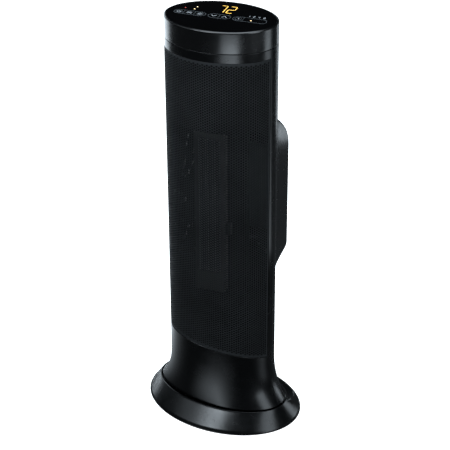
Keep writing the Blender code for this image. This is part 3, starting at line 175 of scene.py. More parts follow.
# Finishes
CLOUD_SCALE, SHEEN_SCALE, GLOW_SCALE = 14.0, 55.0, 900.0
GRAIN_HEIGHT = 0.0004
RAMP_START, RAMP_END = 0.35, 0.65
BLACK = (0.0008, 0.0009, 0.0010)
ALONG_X, ALONG_Z = (9, 1, 1), (1, 1, 9)
NODE_PAINT = {
    "inner": ("base_bottom_cover", "tip_over_switch", "turntable_plate", "lower_bulkhead", "upper_bulkhead",
              # The upper bearing takes this near-black plastic instead of the pale bearing plastic: painted
              # shade inside the housing.
              "scroll_wall", "scroll_tongue", "upper_bearing", "blower_wheel", "board_bracket", "main_relay"),
    "rubber": ("rubber_foot_front_left", "rubber_foot_front_right", "rubber_foot_back_left",
               "rubber_foot_back_right", "cord_gland"),
    "acetal": ("thrust_washer", "sector_gear", "tip_over_plunger", "drive_pinion"),
    "steel": ("counterweight", "spindle_retainer", "oscillation_motor"),
    # Steel parts inside the housing, coloured near black as painted shade so they stay dark behind the grille.
    "steel_in_painted_shade": ("blower_motor", "blower_shaft", "thermal_cutout", "filter_capacitor"),
    "ceramic": ("element_frame",),
    "board": ("display_board", "power_board"),
    "lens": ("led_display",),
}

# Studio
COOL = (0.82, 0.92, 1.0)
WHITE = (1, 1, 1)
FLOOR_RADIUS, FLOOR_SIDES = 14, 96
FLOOR_PAPER = 0.60
FLOOR_BOUNCE = 0.02
FLOOR_GLOW = 0.92
FLOOR_MIRRORED = 0.04
LIGHT_POOLS = (  # x, y, reach in x, reach in y, strength
    (0.014, -0.123, 0.10, 0.07, 7.5),
    (-0.26, 0.06, 0.18, 0.30, 2.8),
    (-0.48, 0.25, 0.34, 0.36, 14.0),
    (0.24, 0.01, 0.09, 0.09, 2.5),
)
SKY = (  # height from 0 at the horizon to 1 overhead, colour
    (0.0, (0.11, 0.12, 0.13)),
    (0.35, (0.024, 0.027, 0.030)),
    (0.88, (0.024, 0.027, 0.030)),
    (0.95, (6.0, 6.7, 7.3)),
)
LAMPS = (  # name, azimuth, elevation, distance, width, height, level, height that it is aimed at, beam
    ("collar_strip", 28, -29, 0.25, 0.11, 0.10, 1.0, 0.57, 55),
    ("right_strip", 106, -29, 0.30, 0.11, 0.36, 0.6, 0.50, 65),
    ("back_strip", 166, -10, 0.45, 0.10, 0.30, 0.62, 0.47, 100),
    ("back_low", 140, 0, 0.5, 0.28, 0.14, 0.40, 0.07, 45),
    ("left_low", -120, 0, 0.7, 0.50, 0.12, 2.4, 0.06, 40),
    ("key", -18, 53, 2.0, 0.6, 0.7, 25, 0.02, 180),
    ("key_wing", -50, 45, 2.0, 1.1, 0.7, 2.5, 0.02, 180),
    ("right_key", 70, 24, 2.0, 0.80, 1.6, 8, 0.02, 180),
    ("left_panel", -113, 0, 1.0, 0.9, 1.0, 4.5, 0.50, 180),
)


# Camera

def add_camera():
    """The camera at the photograph's place, aimed at the middle of the heater's height."""
    azimuth, pitch, roll = CAMERA_AZIMUTH, CAMERA_PITCH, CAMERA_ROLL
    back = Vector((sin(azimuth) * cos(pitch), -cos(azimuth) * cos(pitch), sin(pitch)))
    right = Vector((cos(azimuth), sin(azimuth), 0))
    up = back.cross(right)
    x_axis = right * cos(roll) - up * sin(roll)
    y_axis = right * sin(roll) + up * cos(roll)
    place = Vector((0, 0, HEIGHT / 2)) + back * CAMERA_DISTANCE
    data = bpy.data.cameras.new("camera")
    data.sensor_width = SENSOR
    data.lens = FOCAL_LENGTH / PICTURE * SENSOR
    data.shift_x = (PICTURE / 2 - CENTRE_X) / PICTURE
    data.shift_y = (CENTRE_Y - PICTURE / 2) / PICTURE
    data.clip_end = CAMERA_REACH
    camera = bpy.data.objects.new("camera", data)
    bpy.context.collection.objects.link(camera)
    turn = Matrix((x_axis, y_axis, back)).transposed().to_4x4()
    camera.matrix_world = Matrix.Translation(place) @ turn
    bpy.context.scene.camera = camera


# Node helpers

def new_material(name):
    material = bpy.data.materials.new(name)
    material.use_nodes = True
    nodes = material.node_tree.nodes
    return material, nodes, material.node_tree.links, nodes["Principled BSDF"]


def add_noise(nodes, links, coords, scale, detail, roughness=0.55, stretch=None):
    noise = nodes.new("ShaderNodeTexNoise")
    noise.inputs["Scale"].default_value = scale
    noise.inputs["Detail"].default_value = detail
    noise.inputs["Roughness"].default_value = roughness
    source = coords.outputs["Object"]
    if stretch:
        mapping = nodes.new("ShaderNodeMapping")
        mapping.inputs["Scale"].default_value = stretch
        links.new(source, mapping.inputs["Vector"])
        source = mapping.outputs["Vector"]
    links.new(source, noise.inputs["Vector"])
    return noise.outputs["Fac"]


def add_ramp(nodes, links, source, low, high):
    """Spread a noise between two colours or two greys."""
    ramp = nodes.new("ShaderNodeValToRGB")
    for element, position, colour in zip(ramp.color_ramp.elements, (RAMP_START, RAMP_END), (low, high)):
        element.position = position
        element.color = (*colour, 1)
    links.new(source, ramp.inputs["Fac"])
    return ramp.outputs["Color"]


def add_math(nodes, links, operation, first, second):
    """A sum, product or maximum of two values, each a socket or a plain float."""
    node = nodes.new("ShaderNodeMath")
    node.operation = operation
    for socket, value in zip(node.inputs, (first, second)):
        if isinstance(value, float):
            socket.default_value = value
        else:
            links.new(value, socket)
    return node.outputs[0]


def add_mix(nodes, links, factor, first, second):
    """The first colour where the factor is 0 and the second where it is 1, each a socket or a plain colour."""
    mix = nodes.new("ShaderNodeMix")
    mix.data_type = "RGBA"
    for key, value in (("A", first), ("B", second)):
        if isinstance(value, tuple):
            mix.inputs[key].default_value = (*value, 1)
        else:
            links.new(value, mix.inputs[key])
    links.new(factor, mix.inputs["Factor"])
    return mix.outputs["Result"]


# Materials

def moulded(name, colour, roughness, sheen=0.05, grain=0.02, grain_scale=1400.0, specular=0.5, variation=0.18,
            metallic=0.0, stretch=None):
    """A moulded or rolled surface: slight cloudiness in colour and sheen, and a fine grain."""
    material, nodes, links, shader = new_material(name)
    coords = nodes.new("ShaderNodeTexCoord")
    cloud = add_noise(nodes, links, coords, CLOUD_SCALE, 4.0)
    low = tuple(c * (1 - variation) for c in colour)
    high = tuple(min(1.0, c * (1 + variation)) for c in colour)
    links.new(add_ramp(nodes, links, cloud, low, high), shader.inputs["Base Color"])
    smears = add_noise(nodes, links, coords, SHEEN_SCALE, 5.0, 0.6, stretch)
    low, high = (roughness - sheen,) * 3, (roughness + sheen,) * 3
    links.new(add_ramp(nodes, links, smears, low, high), shader.inputs["Roughness"])
    fine = add_noise(nodes, links, coords, grain_scale, 2.0, 0.5, stretch)
    bump = nodes.new("ShaderNodeBump")
    bump.inputs["Strength"].default_value = grain
    bump.inputs["Distance"].default_value = GRAIN_HEIGHT
    links.new(fine, bump.inputs["Height"])
    links.new(bump.outputs["Normal"], shader.inputs["Normal"])
    shader.inputs["Metallic"].default_value = metallic
    shader.inputs["Specular IOR Level"].default_value = specular
    return material


def glowing(name, colour, strength):
    """A lit segment or lamp behind a thin print, slightly uneven as real ones are."""
    material, nodes, links, shader = new_material(name)
    coords = nodes.new("ShaderNodeTexCoord")
    cloud = add_noise(nodes, links, coords, GLOW_SCALE, 2.0)
    tint = add_ramp(nodes, links, cloud, tuple(c * 0.85 for c in colour), colour)
    links.new(tint, shader.inputs["Base Color"])
    links.new(tint, shader.inputs["Emission Color"])
    shader.inputs["Emission Strength"].default_value = strength
    shader.inputs["Roughness"].default_value = 0.4
    return material


def make_materials():
    return {
        "satin": moulded("satin_black", BLACK, 0.25, sheen=0.03, grain=0.04, grain_scale=1700.0,
                         specular=0.20),
        "collar": moulded("collar_black", BLACK, 0.25, sheen=0.03, grain=0.04, grain_scale=1700.0,
                          specular=0.36),
        "pierced": moulded("grille_black", (0.0160, 0.0169, 0.0176), 0.62, grain=0.05, grain_scale=1700.0,
                           specular=0.02),
        "gloss": moulded("gloss_black", (0.0004, 0.0004, 0.0005), 0.05, sheen=0.01, grain=0.001,
                         grain_scale=500.0, specular=0.07),
        "inner": moulded("inner_plastic", (0.0010, 0.0010, 0.0011), 0.65, sheen=0.06, grain=0.08,
                         grain_scale=900.0, specular=0.005),
        "acetal": moulded("bearing_plastic", (0.60, 0.58, 0.52), 0.42, grain=0.04, grain_scale=700.0,
                          specular=0.45, variation=0.06),
        "ceramic": moulded("heatproof_frame", (0.012, 0.011, 0.010), 0.60, sheen=0.08, grain=0.12,
                           grain_scale=600.0, specular=0.20),
        "rubber": moulded("rubber", (0.012, 0.012, 0.012), 0.80, sheen=0.06, grain=0.20, grain_scale=800.0,
                          specular=0.25),
        "steel": moulded("steel", (0.50, 0.51, 0.52), 0.34, sheen=0.08, grain=0.05, grain_scale=260.0,
                         variation=0.08, metallic=1.0, stretch=ALONG_Z),
        "aluminium": moulded("aluminium", (0.07, 0.07, 0.07), 0.45, sheen=0.08, grain=0.06, grain_scale=300.0,
                             variation=0.08, metallic=1.0, stretch=ALONG_X),
        "board": moulded("circuit_board", (0.003, 0.012, 0.007), 0.42, sheen=0.06, grain=0.05,
                         grain_scale=350.0, specular=0.45, variation=0.22),
        "lens": moulded("display", (0.060, 0.028, 0.008), 0.25, sheen=0.04, grain=0.01, grain_scale=500.0),
        # Painted shade: the steel inside the housing is coloured near black so that it reads as the shade in
        # there.
        "steel_in_painted_shade": moulded("steel_painted_as_shade", (0.004, 0.004, 0.004), 0.55, sheen=0.08, grain=0.05,
                              grain_scale=260.0, specular=0.10),
        "faint_ink": moulded("faint_ink", (0.10, 0.11, 0.12), 0.45, grain=0.01, grain_scale=500.0,
                             specular=0.30, variation=0.08),
        "ink": moulded("panel_ink", (0.34, 0.36, 0.38), 0.45, grain=0.01, grain_scale=500.0,
                       specular=0.30, variation=0.08),
        "amber": glowing("amber_segments", (1.0, 0.58, 0.11), 0.9),
        "lamp": glowing("amber_lamps", (1.0, 0.80, 0.42), 2.4),
        "red": glowing("red_lamp", (0.60, 0.10, 0.08), 0.6),
        "mesh": moulded("filter_mesh", (0.012, 0.012, 0.013), 0.75, sheen=0.08, grain=0.50, grain_scale=1500.0,
                        specular=0.20),
    }


def paint_nodes(paint):
    """The finishes of the frame's nodes that no piece replaces."""
    for key, names in NODE_PAINT.items():
        for name in names:
            for slot in frame["nodes"][name].material_slots:
                slot.material = paint[key]


# Mesh helpers

def world(point):
    """From the tower's own frame to the base's."""
    x, y, z = point
    return x * cos(TWIST) - y * sin(TWIST), x * sin(TWIST) + y * cos(TWIST), z


def build_piece(name, points, faces, material, body, replaced=(), sharp=32, bevel=0.0):
    """A shown piece: its edges above the sharp angle stay crisp, and a bevel softens its corners."""
    mesh = bpy.data.meshes.new(name)
    mesh.from_pydata(points, [], faces)
    mesh.validate()
    mesh.materials.append(material)
    mesh.shade_smooth()
    mesh.set_sharp_from_angle(angle=radians(sharp))
    piece = bpy.data.objects.new(name, mesh)
    bpy.context.collection.objects.link(piece)
    if bevel:
        soften = piece.modifiers.new("soft_edges", "BEVEL")
        soften.width = bevel
        soften.segments = 2
        soften.limit_method = "ANGLE"
        soften.angle_limit = SOFTENED_ANGLE
        soften.harden_normals = True
    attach(piece, body)
    if replaced:
        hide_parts(*replaced)
    return piece


def loop_faces(count, rings):
    """Faces between neighbouring rings of count points each, and from the last ring to the first."""
    faces = []
    for ring in range(rings):
        after = (ring + 1) % rings
        for i in range(count):
            j = (i + 1) % count
            faces.append((ring * count + j, ring * count + i, after * count + i, after * count + j))
    return faces


def stack_faces(count, rings):
    """Faces between neighbouring rings, closed by a face on the first ring and one on the last."""
    faces = loop_faces(count, rings)[:(rings - 1) * count]
    faces.append(tuple(range(count)))
    faces.append(tuple(reversed([(rings - 1) * count + i for i in range(count)])))
    return faces


def flip(faces):
    return [tuple(reversed(face)) for face in faces]


def thicken(spots, faces, place):
    """A thin wall from a flat pattern: place(u, v, 0) is its outside and place(u, v, 1) its inside."""
    count = len(spots)
    points = [place(u, v, 0) for u, v in spots] + [place(u, v, 1) for u, v in spots]
    inner = [tuple(count + i for i in reversed(face)) for face in faces]
    directed = {(face[k], face[(k + 1) % len(face)]) for face in faces for k in range(len(face))}
    rims = [(b, a, count + a, count + b) for a, b in directed if (b, a) not in directed]
    return points, sorted(faces) + inner + sorted(rims)


def evenly(first, last, count):
    """Count values from first to last at even steps."""
    return [first + (last - first) * i / (count - 1) for i in range(count)]


def grid(columns, rows, is_open=lambda i, j: False):
    """A flat pattern of four-sided faces between the given columns and rows, without its open ones."""
    index = {}
    faces = []
    for i in range(len(columns) - 1):
        for j in range(len(rows) - 1):
            if is_open(i, j):
                continue
            corners = ((i, j), (i + 1, j), (i + 1, j + 1), (i, j + 1))
            faces.append(tuple(index.setdefault(corner, len(index)) for corner in corners))
    return [(columns[i], rows[j]) for i, j in index], faces


def slot_edges(count, start, end, inset=0.0):
    """The edges of count slots on a unit length, each from start to end of its share."""
    edges = [0.0]
    for k in range(count):
        edges += [(k + start) / count + inset, (k + end) / count - inset]
    return edges + [1.0]


def is_slot(i, j):
    return i % 2 and j % 2


def perforation(columns, rows, side, end, share_u, share_v):
    """Rows of eight-sided holes on a unit square, each row set half a step from the last."""
    half = (1 - 2 * side) / (2 * columns)
    step = (1 - 2 * end) / rows
    right_end = 4 * columns
    index = {}
    spots = []
    faces = []

    def spot(i2, j2):
        """A corner of the grid, with both of its numbers counted in half steps."""
        key = (i2, j2)
        if key not in index:
            i, j = i2 / 2, j2 / 2
            u = 0.0 if i < 0 else 1.0 if i > 2 * columns else side + half * i
            v = 0.0 if j < 0 else 1.0 if j > rows else end + step * j
            index[key] = len(spots)
            spots.append((u, v))
        return index[key]

    corner = 0.70711
    ring = ((-corner, -corner), (0, -1), (corner, -corner), (1, 0),
            (corner, corner), (0, 1), (-corner, corner), (-1, 0))
    for j in range(-1, rows + 1):
        low, mid, high = 2 * j, 2 * j + 1, 2 * j + 2
        if j < 0 or j == rows:
            low, high = (-2, 0) if j < 0 else (2 * rows, 2 * rows + 2)
            edges = [-2] + list(range(0, right_end + 1, 2)) + [right_end + 2]
            for a, b in zip(edges, edges[1:]):
                faces.append((spot(a, low), spot(b, low), spot(b, high), spot(a, high)))
            continue
        first = 0 if j % 2 == 0 else 2
        last = right_end - first
        left = [-2, 0] if first == 0 else [-2, 0, 2]
        right = [right_end, right_end + 2] if first == 0 else [right_end - 2, right_end, right_end + 2]
        for chain in (left, right):
            for a, b in zip(chain, chain[1:]):
                face = [spot(a, low), spot(b, low)]
                if b == first:
                    face.append(spot(b, mid))
                face += [spot(b, high), spot(a, high)]
                if a == last:
                    face.append(spot(a, mid))
                faces.append(tuple(face))
        for i in range(first, last, 4):
            outer = [spot(i, low), spot(i + 2, low), spot(i + 4, low), spot(i + 4, mid),
                     spot(i + 4, high), spot(i + 2, high), spot(i, high), spot(i, mid)]
            hole = []
            u0 = side + half * (i / 2 + 1)
            v0 = end + step * (j + 0.5)
            for du, dv in ring:
                hole.append(len(spots))
                spots.append((u0 + du * share_u * half, v0 + dv * share_v * step))
            for k in range(8):
                n = (k + 1) % 8
                faces.append((outer[k], outer[n], hole[n], hole[k]))
    return spots, faces


# The tower's surface

def tower_point(angle, z, depth=0.0):
    """A point on the tower's oval, or this deep inside it, in the tower's own frame."""
    drop = max(0.0, (FLARE_TOP - z) / (FLARE_TOP - FOOT_Z))
    flare = drop ** FLARE_POWER
    turn = -TWIST * drop ** TWIST_POWER
    x = (HALF_WIDTH + flare * (FOOT_HALF_WIDTH - HALF_WIDTH) - depth) * cos(angle)
    y = (HALF_DEPTH + flare * (FOOT_HALF_DEPTH - HALF_DEPTH) - depth) * sin(angle)
    return x * cos(turn) - y * sin(turn), x * sin(turn) + y * cos(turn), z


def cut_height(angle):
    """The height of the window's lower edge, which is cut aslant."""
    return CUT_HEIGHT + CUT_SLOPE_X * HALF_WIDTH * cos(angle) + CUT_SLOPE_Y * HALF_DEPTH * sin(angle)


def oval(width, depth, z, set_back=0.0, sides=OVAL_SIDES):
    """An oval ring of points, as half a width and half a depth."""
    turns = [2 * pi * i / sides for i in range(sides)]
    return [(width * cos(turn), depth * sin(turn) + set_back, z) for turn in turns]


def even_angles(first, last, steps=400):
    """Angles on the tower's oval at even distances along it, from first to last."""
    angles = evenly(first, last, steps + 1)
    travelled = [0.0]
    for a, b in zip(angles, angles[1:]):
        middle = (a + b) / 2
        travelled.append(travelled[-1] + (b - a) * hypot(HALF_WIDTH * sin(middle), HALF_DEPTH * cos(middle)))

    def angle_at(share):
        goal = share * travelled[-1]
        k = min(max(bisect_left(travelled, goal), 1), steps)
        part = (goal - travelled[k - 1]) / (travelled[k] - travelled[k - 1])
        return angles[k - 1] + (angles[k] - angles[k - 1]) * part

    return angle_at


# Shells

def make_front_frame(paint):
    """The front housing: skirt, side columns and top band in one wall round the window."""
    side_steps, window_steps = 8, 99
    window_left, window_right = pi + COLUMN_ANGLE, 2 * pi - COLUMN_ANGLE
    columns = evenly(pi + PARTING + PARTING_GAP, window_left, side_steps + 1)[:-1]
    columns += evenly(window_left, window_right, window_steps + 1)
    columns += evenly(window_right, 2 * pi - PARTING - PARTING_GAP, side_steps + 1)[1:]
    cut_row = len(SKIRT_ROWS)

    def place(angle, row, layer):
        z = (*SKIRT_ROWS, cut_height(angle), WINDOW_TOP, HOUSING_RIM)[row]
        return world(tower_point(angle, z, WALL * layer))

    spots, faces = grid(columns, range(cut_row + 3),
                        lambda i, j: j == cut_row and side_steps <= i < side_steps + window_steps)
    points, faces = thicken(spots, faces, place)
    build_piece("front_housing", points, faces, paint["satin"], "tower", ("front_frame",),
                bevel=SOFT_EDGE)


def make_front_grille(paint):
    """The pierced sheet: its holes stand in upright columns, so the pattern's rows run from the left."""
    side = SEAM / HALF_WIDTH
    angle_at = even_angles(pi + COLUMN_ANGLE + side, 2 * pi - COLUMN_ANGLE - side)

    def place(v, u, layer):
        angle = angle_at(u)
        low = cut_height(angle) + SEAM
        z = low + (WINDOW_TOP - SEAM - low) * v
        return world(tower_point(angle, z, GRILLE_DEPTH + GRILLE_SHEET * layer))

    spots, faces = perforation(HOLES_UP, HOLES_ACROSS, BORDER_END, BORDER_SIDE,
                               HOLE_SHARE_UP, HOLE_SHARE_ACROSS)
    points, faces = thicken(spots, flip(faces), place)
    build_piece("pierced_grille", points, faces, paint["pierced"], "tower", ("front_grille",))


def make_lining(name, low, high, paint):
    """A thin dark sheet behind the grille, above or below the blower, where no air comes out."""
    angles = evenly(pi + COLUMN_ANGLE - LINING_TUCK, 2 * pi - COLUMN_ANGLE + LINING_TUCK,
                    LINING_COLUMNS)

    def place(angle, z, layer):
        return world(tower_point(angle, z, LINING_DEPTH + LINING_SHEET * layer))

    spots, faces = grid(angles, evenly(low, high, LINING_ROWS))
    points, faces = thicken(spots, flip(faces), place)
    build_piece(name, points, faces, paint["inner"], "tower")


def housing_swell(z):
    """How far the wall has gone from the tower's oval to the bulge's square: 0 to 1."""
    if z >= HOUSING_TOP or z <= HOUSING_BOTTOM:
        return 0.0
    top = min(1.0, (HOUSING_TOP - z) / SHOULDER_TOP)
    bottom = min(1.0, (z - HOUSING_BOTTOM) / SHOULDER_BOTTOM)
    return (1 - (1 - top) ** SHOULDER_POWER) * (1 - (1 - bottom) ** SHOULDER_POWER)


def make_rear_housing(paint):
    """The rear housing. Stations go round half the bulge: side 0-1, corner 1-2, back 2-3, intake 3-4."""
    side_angle = acos(HOUSING_HALF_WIDTH / HALF_WIDTH)
    side_y = HALF_DEPTH * sin(side_angle)
    corner_x, corner_y = HOUSING_HALF_WIDTH - HOUSING_CORNER, HOUSING_BACK - HOUSING_CORNER
    stations = (0.5, 1.0, 1.33, 1.67, 2.0, 3.0, 4.0)
    knots = [(side_angle, 0.0)] + [(radians(9 * k), station) for k, station in enumerate(stations, 4)]

    def station_of(angle):
        for (a0, s0), (a1, s1) in zip(knots, knots[1:]):
            if angle <= a1 + 1e-9:
                return s0 + (s1 - s0) * (angle - a0) / (a1 - a0)
        return 4.0

    def housing_spot(station, depth):
        if station <= 1:
            return HOUSING_HALF_WIDTH - depth, side_y + (corner_y - side_y) * station
        if station <= 2:
            turn = (station - 1) * pi / 2
            radius = HOUSING_CORNER - depth
            return corner_x + radius * cos(turn), corner_y + radius * sin(turn)
        if station <= 3:
            return corner_x + (INTAKE_HALF_WIDTH - corner_x) * (station - 2), HOUSING_BACK - depth
        return INTAKE_HALF_WIDTH * (4 - station), HOUSING_BACK - depth

    near = evenly(-PARTING + PARTING_GAP, side_angle, 14)[:-1]
    far = []
    for (a0, _), (a1, _) in zip(knots, knots[1:]):
        far += evenly(a0, a1, 5)[:-1]
    half = [(a, None) for a in near] + [(a, station_of(a)) for a in far]
    columns = half + [(pi / 2, 4.0)] + [(pi - a, s) for a, s in reversed(half)]
    shares = [(k / SHOULDER_STEPS) ** SHOULDER_CROWDING for k in range(SHOULDER_STEPS + 1)]
    rows = SKIRT_ROWS + [HOUSING_BOTTOM + SHOULDER_BOTTOM * share for share in shares]
    low_row = len(rows)
    rows += [INTAKE_BOTTOM, INTAKE_TOP]
    rows += [HOUSING_TOP - SHOULDER_TOP * share for share in reversed(shares)] + [HOUSING_RIM]

    def place(column, row, layer):
        angle, station = columns[column]
        depth = WALL * layer
        x, y, z = tower_point(angle, rows[row], depth)
        swell = housing_swell(z)
        if station is not None and swell > 0:
            side = 1 if angle <= pi / 2 else -1
            hx, hy = housing_spot(station, depth)
            x, y = x + (side * hx - x) * swell, y + (hy - y) * swell
        return world((x, y, z))

    def is_intake(i, j):
        ends = (columns[i][1], columns[i + 1][1])
        return j == low_row and None not in ends and min(ends) >= 3.0 - 1e-9

    spots, faces = grid(range(len(columns)), range(len(rows)), is_intake)
    points, faces = thicken(spots, faces, place)
    build_piece("rear_housing", points, faces, paint["satin"], "tower", ("rear_shell",),
                bevel=SOFT_EDGE)


def make_intake(paint):
    """The slotted intake cover, with fine slots in three columns and rounded bars."""
    half_width = INTAKE_HALF_WIDTH - SEAM
    low, high = INTAKE_BOTTOM + SEAM, INTAKE_TOP - SEAM

    def place(u, v, layer):
        y = HOUSING_BACK - INTAKE_SET_IN - INTAKE_SHEET * layer
        return world((half_width * (2 * u - 1), y, low + (high - low) * v))

    columns, rows = slot_edges(INTAKE_COLUMNS, 0.08, 0.92), slot_edges(INTAKE_SLOTS, 0.25, 0.75)
    spots, faces = grid(columns, rows, is_slot)
    points, faces = thicken(spots, faces, place)
    build_piece("intake_louvre", points, flip(faces), paint["satin"], "tower",
                ("intake_grille",), bevel=SOFT_EDGE / 2)


def make_filter(paint):
    """The dust filter: a fine cloth in upright pleats inside a plain border."""
    half_width = INTAKE_HALF_WIDTH - SEAM - FILTER_SIDE_GAP
    low, high = INTAKE_BOTTOM + FILTER_END_GAP, INTAKE_TOP - FILTER_END_GAP
    columns = [0.0, 0.045] + evenly(0.05, 0.95, 73) + [0.955, 1.0]
    rows = [0.0, 0.033, 0.036, 0.964, 0.967, 1.0]

    def place(column, row, layer):
        pleated = 2 <= column < len(columns) - 2 and 2 <= row < len(rows) - 2
        dip = (FILTER_DIP + FILTER_PLEAT * (column % 2)) if pleated else 0.0
        inner = dip + FILTER_CLOTH if pleated else FILTER_BORDER
        y = FILTER_BACK - (inner if layer else dip)
        return world((half_width * (2 * columns[column] - 1), y, low + (high - low) * rows[row]))

    spots, faces = grid(range(len(columns)), range(len(rows)))
    points, faces = thicken(spots, faces, place)
    build_piece("pleated_filter", points, flip(faces), paint["mesh"], "tower",
                ("filter_screen",), sharp=20)


def make_fins(paint):
    """The element's fins: four upright bars with fine corrugations between them."""
    low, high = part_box("element_fins")[0][2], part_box("element_fins")[1][2]

    def place(u, v, layer):
        y = FIN_FRONT + (FIN_BACK - FIN_FRONT) * layer
        return world((FIN_HALF_WIDTH * (2 * u - 1), y, low + (high - low) * v))

    columns, rows = slot_edges(FIN_GAPS, 0.16, 0.84, 0.01), slot_edges(FIN_PLEATS, 0.15, 0.85)
    spots, faces = grid(columns, rows, is_slot)
    points, faces = thicken(spots, faces, place)
    build_piece("heater_fins", points, faces, paint["aluminium"], "tower", ("element_fins",))


def make_collar(paint):
    """The collar: its outside with two soft edges, the bright rim, and the ledge that carries the panel."""
    low = COLLAR_SEAM + SEAM / 2
    ledge = HEIGHT - 0.0030
    profile = [(0.0003, low), (0.0, low + 0.0003), (0.0, low + 0.0009),
               (0.0, HEIGHT - 0.0022), (0.0, HEIGHT - 0.0014), (0.0002, HEIGHT - 0.0009),
               (0.0003, HEIGHT - 0.00084), (0.0013, HEIGHT - 0.00021), (0.0014, HEIGHT - 0.00015),
               (0.0016, HEIGHT), (0.0018, HEIGHT), (0.0020, HEIGHT - 0.0003),
               (0.0020, ledge), (0.0050, ledge), (0.0050, ledge - 0.0030), (WALL, ledge - 0.0055), (WALL, low)]
    points = [world(p) for inset, z in profile for p in oval(HALF_WIDTH - inset, HALF_DEPTH - inset, z)]
    build_piece("collar", points, loop_faces(OVAL_SIDES, len(profile)), paint["collar"], "tower",
                ("top_collar",), sharp=50)


def make_panel(paint):
    width, depth = HALF_WIDTH - PANEL_INSET, HALF_DEPTH - PANEL_INSET
    profile = [(0.0, HEIGHT - 0.0027), (0.0, PANEL_TOP - 0.0003), (0.00015, PANEL_TOP - 0.00008),
               (0.0004, PANEL_TOP), (0.0010, PANEL_TOP), (0.0020, PANEL_TOP)]
    points = [world(p) for inset, z in profile for p in oval(width - inset, depth - inset, z)]
    build_piece("touch_panel", points, stack_faces(OVAL_SIDES, len(profile)), paint["gloss"], "tower",
                ("control_panel",), sharp=60)


# Marks on the touch panel

def ribbon(path, width, closed=False):
    """A line of even width through the points, as a flat pattern."""
    count = len(path)
    spots = []
    for i, (x, y) in enumerate(path):
        before = path[i - 1] if i or closed else path[i]
        after = path[(i + 1) % count] if i < count - 1 or closed else path[i]
        dx, dy = after[0] - before[0], after[1] - before[1]
        half = width / 2 / hypot(dx, dy)
        spots += [(x - dy * half, y + dx * half), (x + dy * half, y - dx * half)]
    faces = []
    for i in range(count if closed else count - 1):
        j = (i + 1) % count
        faces.append((2 * i + 1, 2 * j + 1, 2 * j, 2 * i))
    return spots, faces


def arc(x, y, radius, first=0, last=360, steps=28):
    return [(x + radius * cos(radians(first + (last - first) * i / steps)),
             y + radius * sin(radians(first + (last - first) * i / steps))) for i in range(steps + 1)]


def disc(x, y, radius, sides=20):
    return arc(x, y, radius, 0, 360 - 360 / sides, sides - 1), [tuple(range(sides))]


def digit(figure, x, y, width, height, stroke):
    """The lit segments of a figure, each a short bar with a small gap at its ends."""
    bars = []
    for name in DIGITS[figure]:
        (u0, v0), (u1, v1) = SEGMENT_ENDS[name]
        x0, y0, x1, y1 = x + width * u0, y + height * v0, x + width * u1, y + height * v1
        gap = 0.6 * stroke / hypot(x1 - x0, y1 - y0)
        bars.append(ribbon([(x0 + (x1 - x0) * gap, y0 + (y1 - y0) * gap),
                            (x1 - (x1 - x0) * gap, y1 - (y1 - y0) * gap)], stroke))
    return bars


def pill(left, right, low, high):
    """The outline of a key field with round ends."""
    radius = (high - low) / 2
    middle = (high + low) / 2
    return arc(right - radius, middle, radius, -90, 90, 12) + arc(left + radius, middle, radius, 90, 270, 12)


def place_marks(name, marks, material):
    """Flat patterns as one thin piece on the panel."""
    points, faces = [], []

    def place(x, y, layer):
        return world((x, y, PANEL_TOP + MARK_TOP - MARK_SHEET * layer))

    for spots, pattern in marks:
        more_points, more_faces = thicken(spots, pattern, place)
        faces += [tuple(len(points) + i for i in face) for face in more_faces]
        points += more_points
    build_piece(name, points, faces, material, "tower")


def make_key_outlines(paint):
    marks = [ribbon(pill(left, right, KEY_LOW, KEY_HIGH), HAIRLINE, True) for left, right in KEY_FIELDS]
    marks += [ribbon([(x, KEY_LOW + DIVIDER_INSET), (x, KEY_HIGH - DIVIDER_INSET)], HAIRLINE)
              for x in KEY_DIVIDERS]
    marks += [ribbon(arc(x, 0, ICON_RADIUS)[:-1], HAIRLINE, True) for x in (POWER_X, HEAT_X, TIMER_X)]
    place_marks("key_outlines", marks, paint["faint_ink"])


def make_panel_print(paint):
    """Plain symbols on the keys, and the hours of the timer."""
    small = ICON_RADIUS * 0.55
    marks = [ribbon(arc(POWER_X, -0.0003, small, 125, 415), ICON_STROKE),
             ribbon([(POWER_X, 0.0), (POWER_X, small + 0.0004)], ICON_STROKE)]
    for y in (-0.0014, 0.0014):
        wave = [(SWING_X + 0.0034 * (i / 8 - 1), y + 0.0009 * sin(i * pi / 4)) for i in range(17)]
        marks.append(ribbon(wave, ICON_STROKE))
    marks.append(ribbon(arc(HEAT_X, 0, small * 0.75)[:-1], ICON_STROKE, True))
    for k in range(8):
        ray = [arc(HEAT_X, 0, small * reach, 45 * k, 45 * k, 1)[0] for reach in (1.15, 1.5)]
        marks.append(ribbon(ray, HAIRLINE))
    hands = [(TIMER_X, small), (TIMER_X, 0), (TIMER_X + small * 0.7, -small * 0.4)]
    marks.append(ribbon(hands, ICON_STROKE))
    for x, tip in ((-0.0098, -0.0022), (0.0046, 0.0024)):
        marks.append(ribbon([(x - 0.0032, -tip), (x, tip), (x + 0.0032, -tip)], ICON_STROKE * 1.3))
    for figure, x in HOURS:
        marks += digit(figure, x, HOUR_LOW, HOUR_WIDTH, HOUR_HEIGHT, HOUR_STROKE)
    place_marks("panel_print", marks, paint["ink"])


def make_panel_lights(paint):
    """The set temperature in amber segments, and the lamps above and beside the keys."""
    lit = []
    for figure, x in FIGURES:
        lit += digit(figure, x, FIGURE_LOW, FIGURE_WIDTH, FIGURE_HEIGHT, FIGURE_STROKE)
    place_marks("amber_figures", lit, paint["amber"])
    place_marks("mode_lamps", [disc(x, y, LAMP_RADIUS) for x, y in MODE_LAMPS], paint["lamp"])
    place_marks("standby_lamp", [disc(*STANDBY_LAMP, LAMP_RADIUS)], paint["red"])


# The base

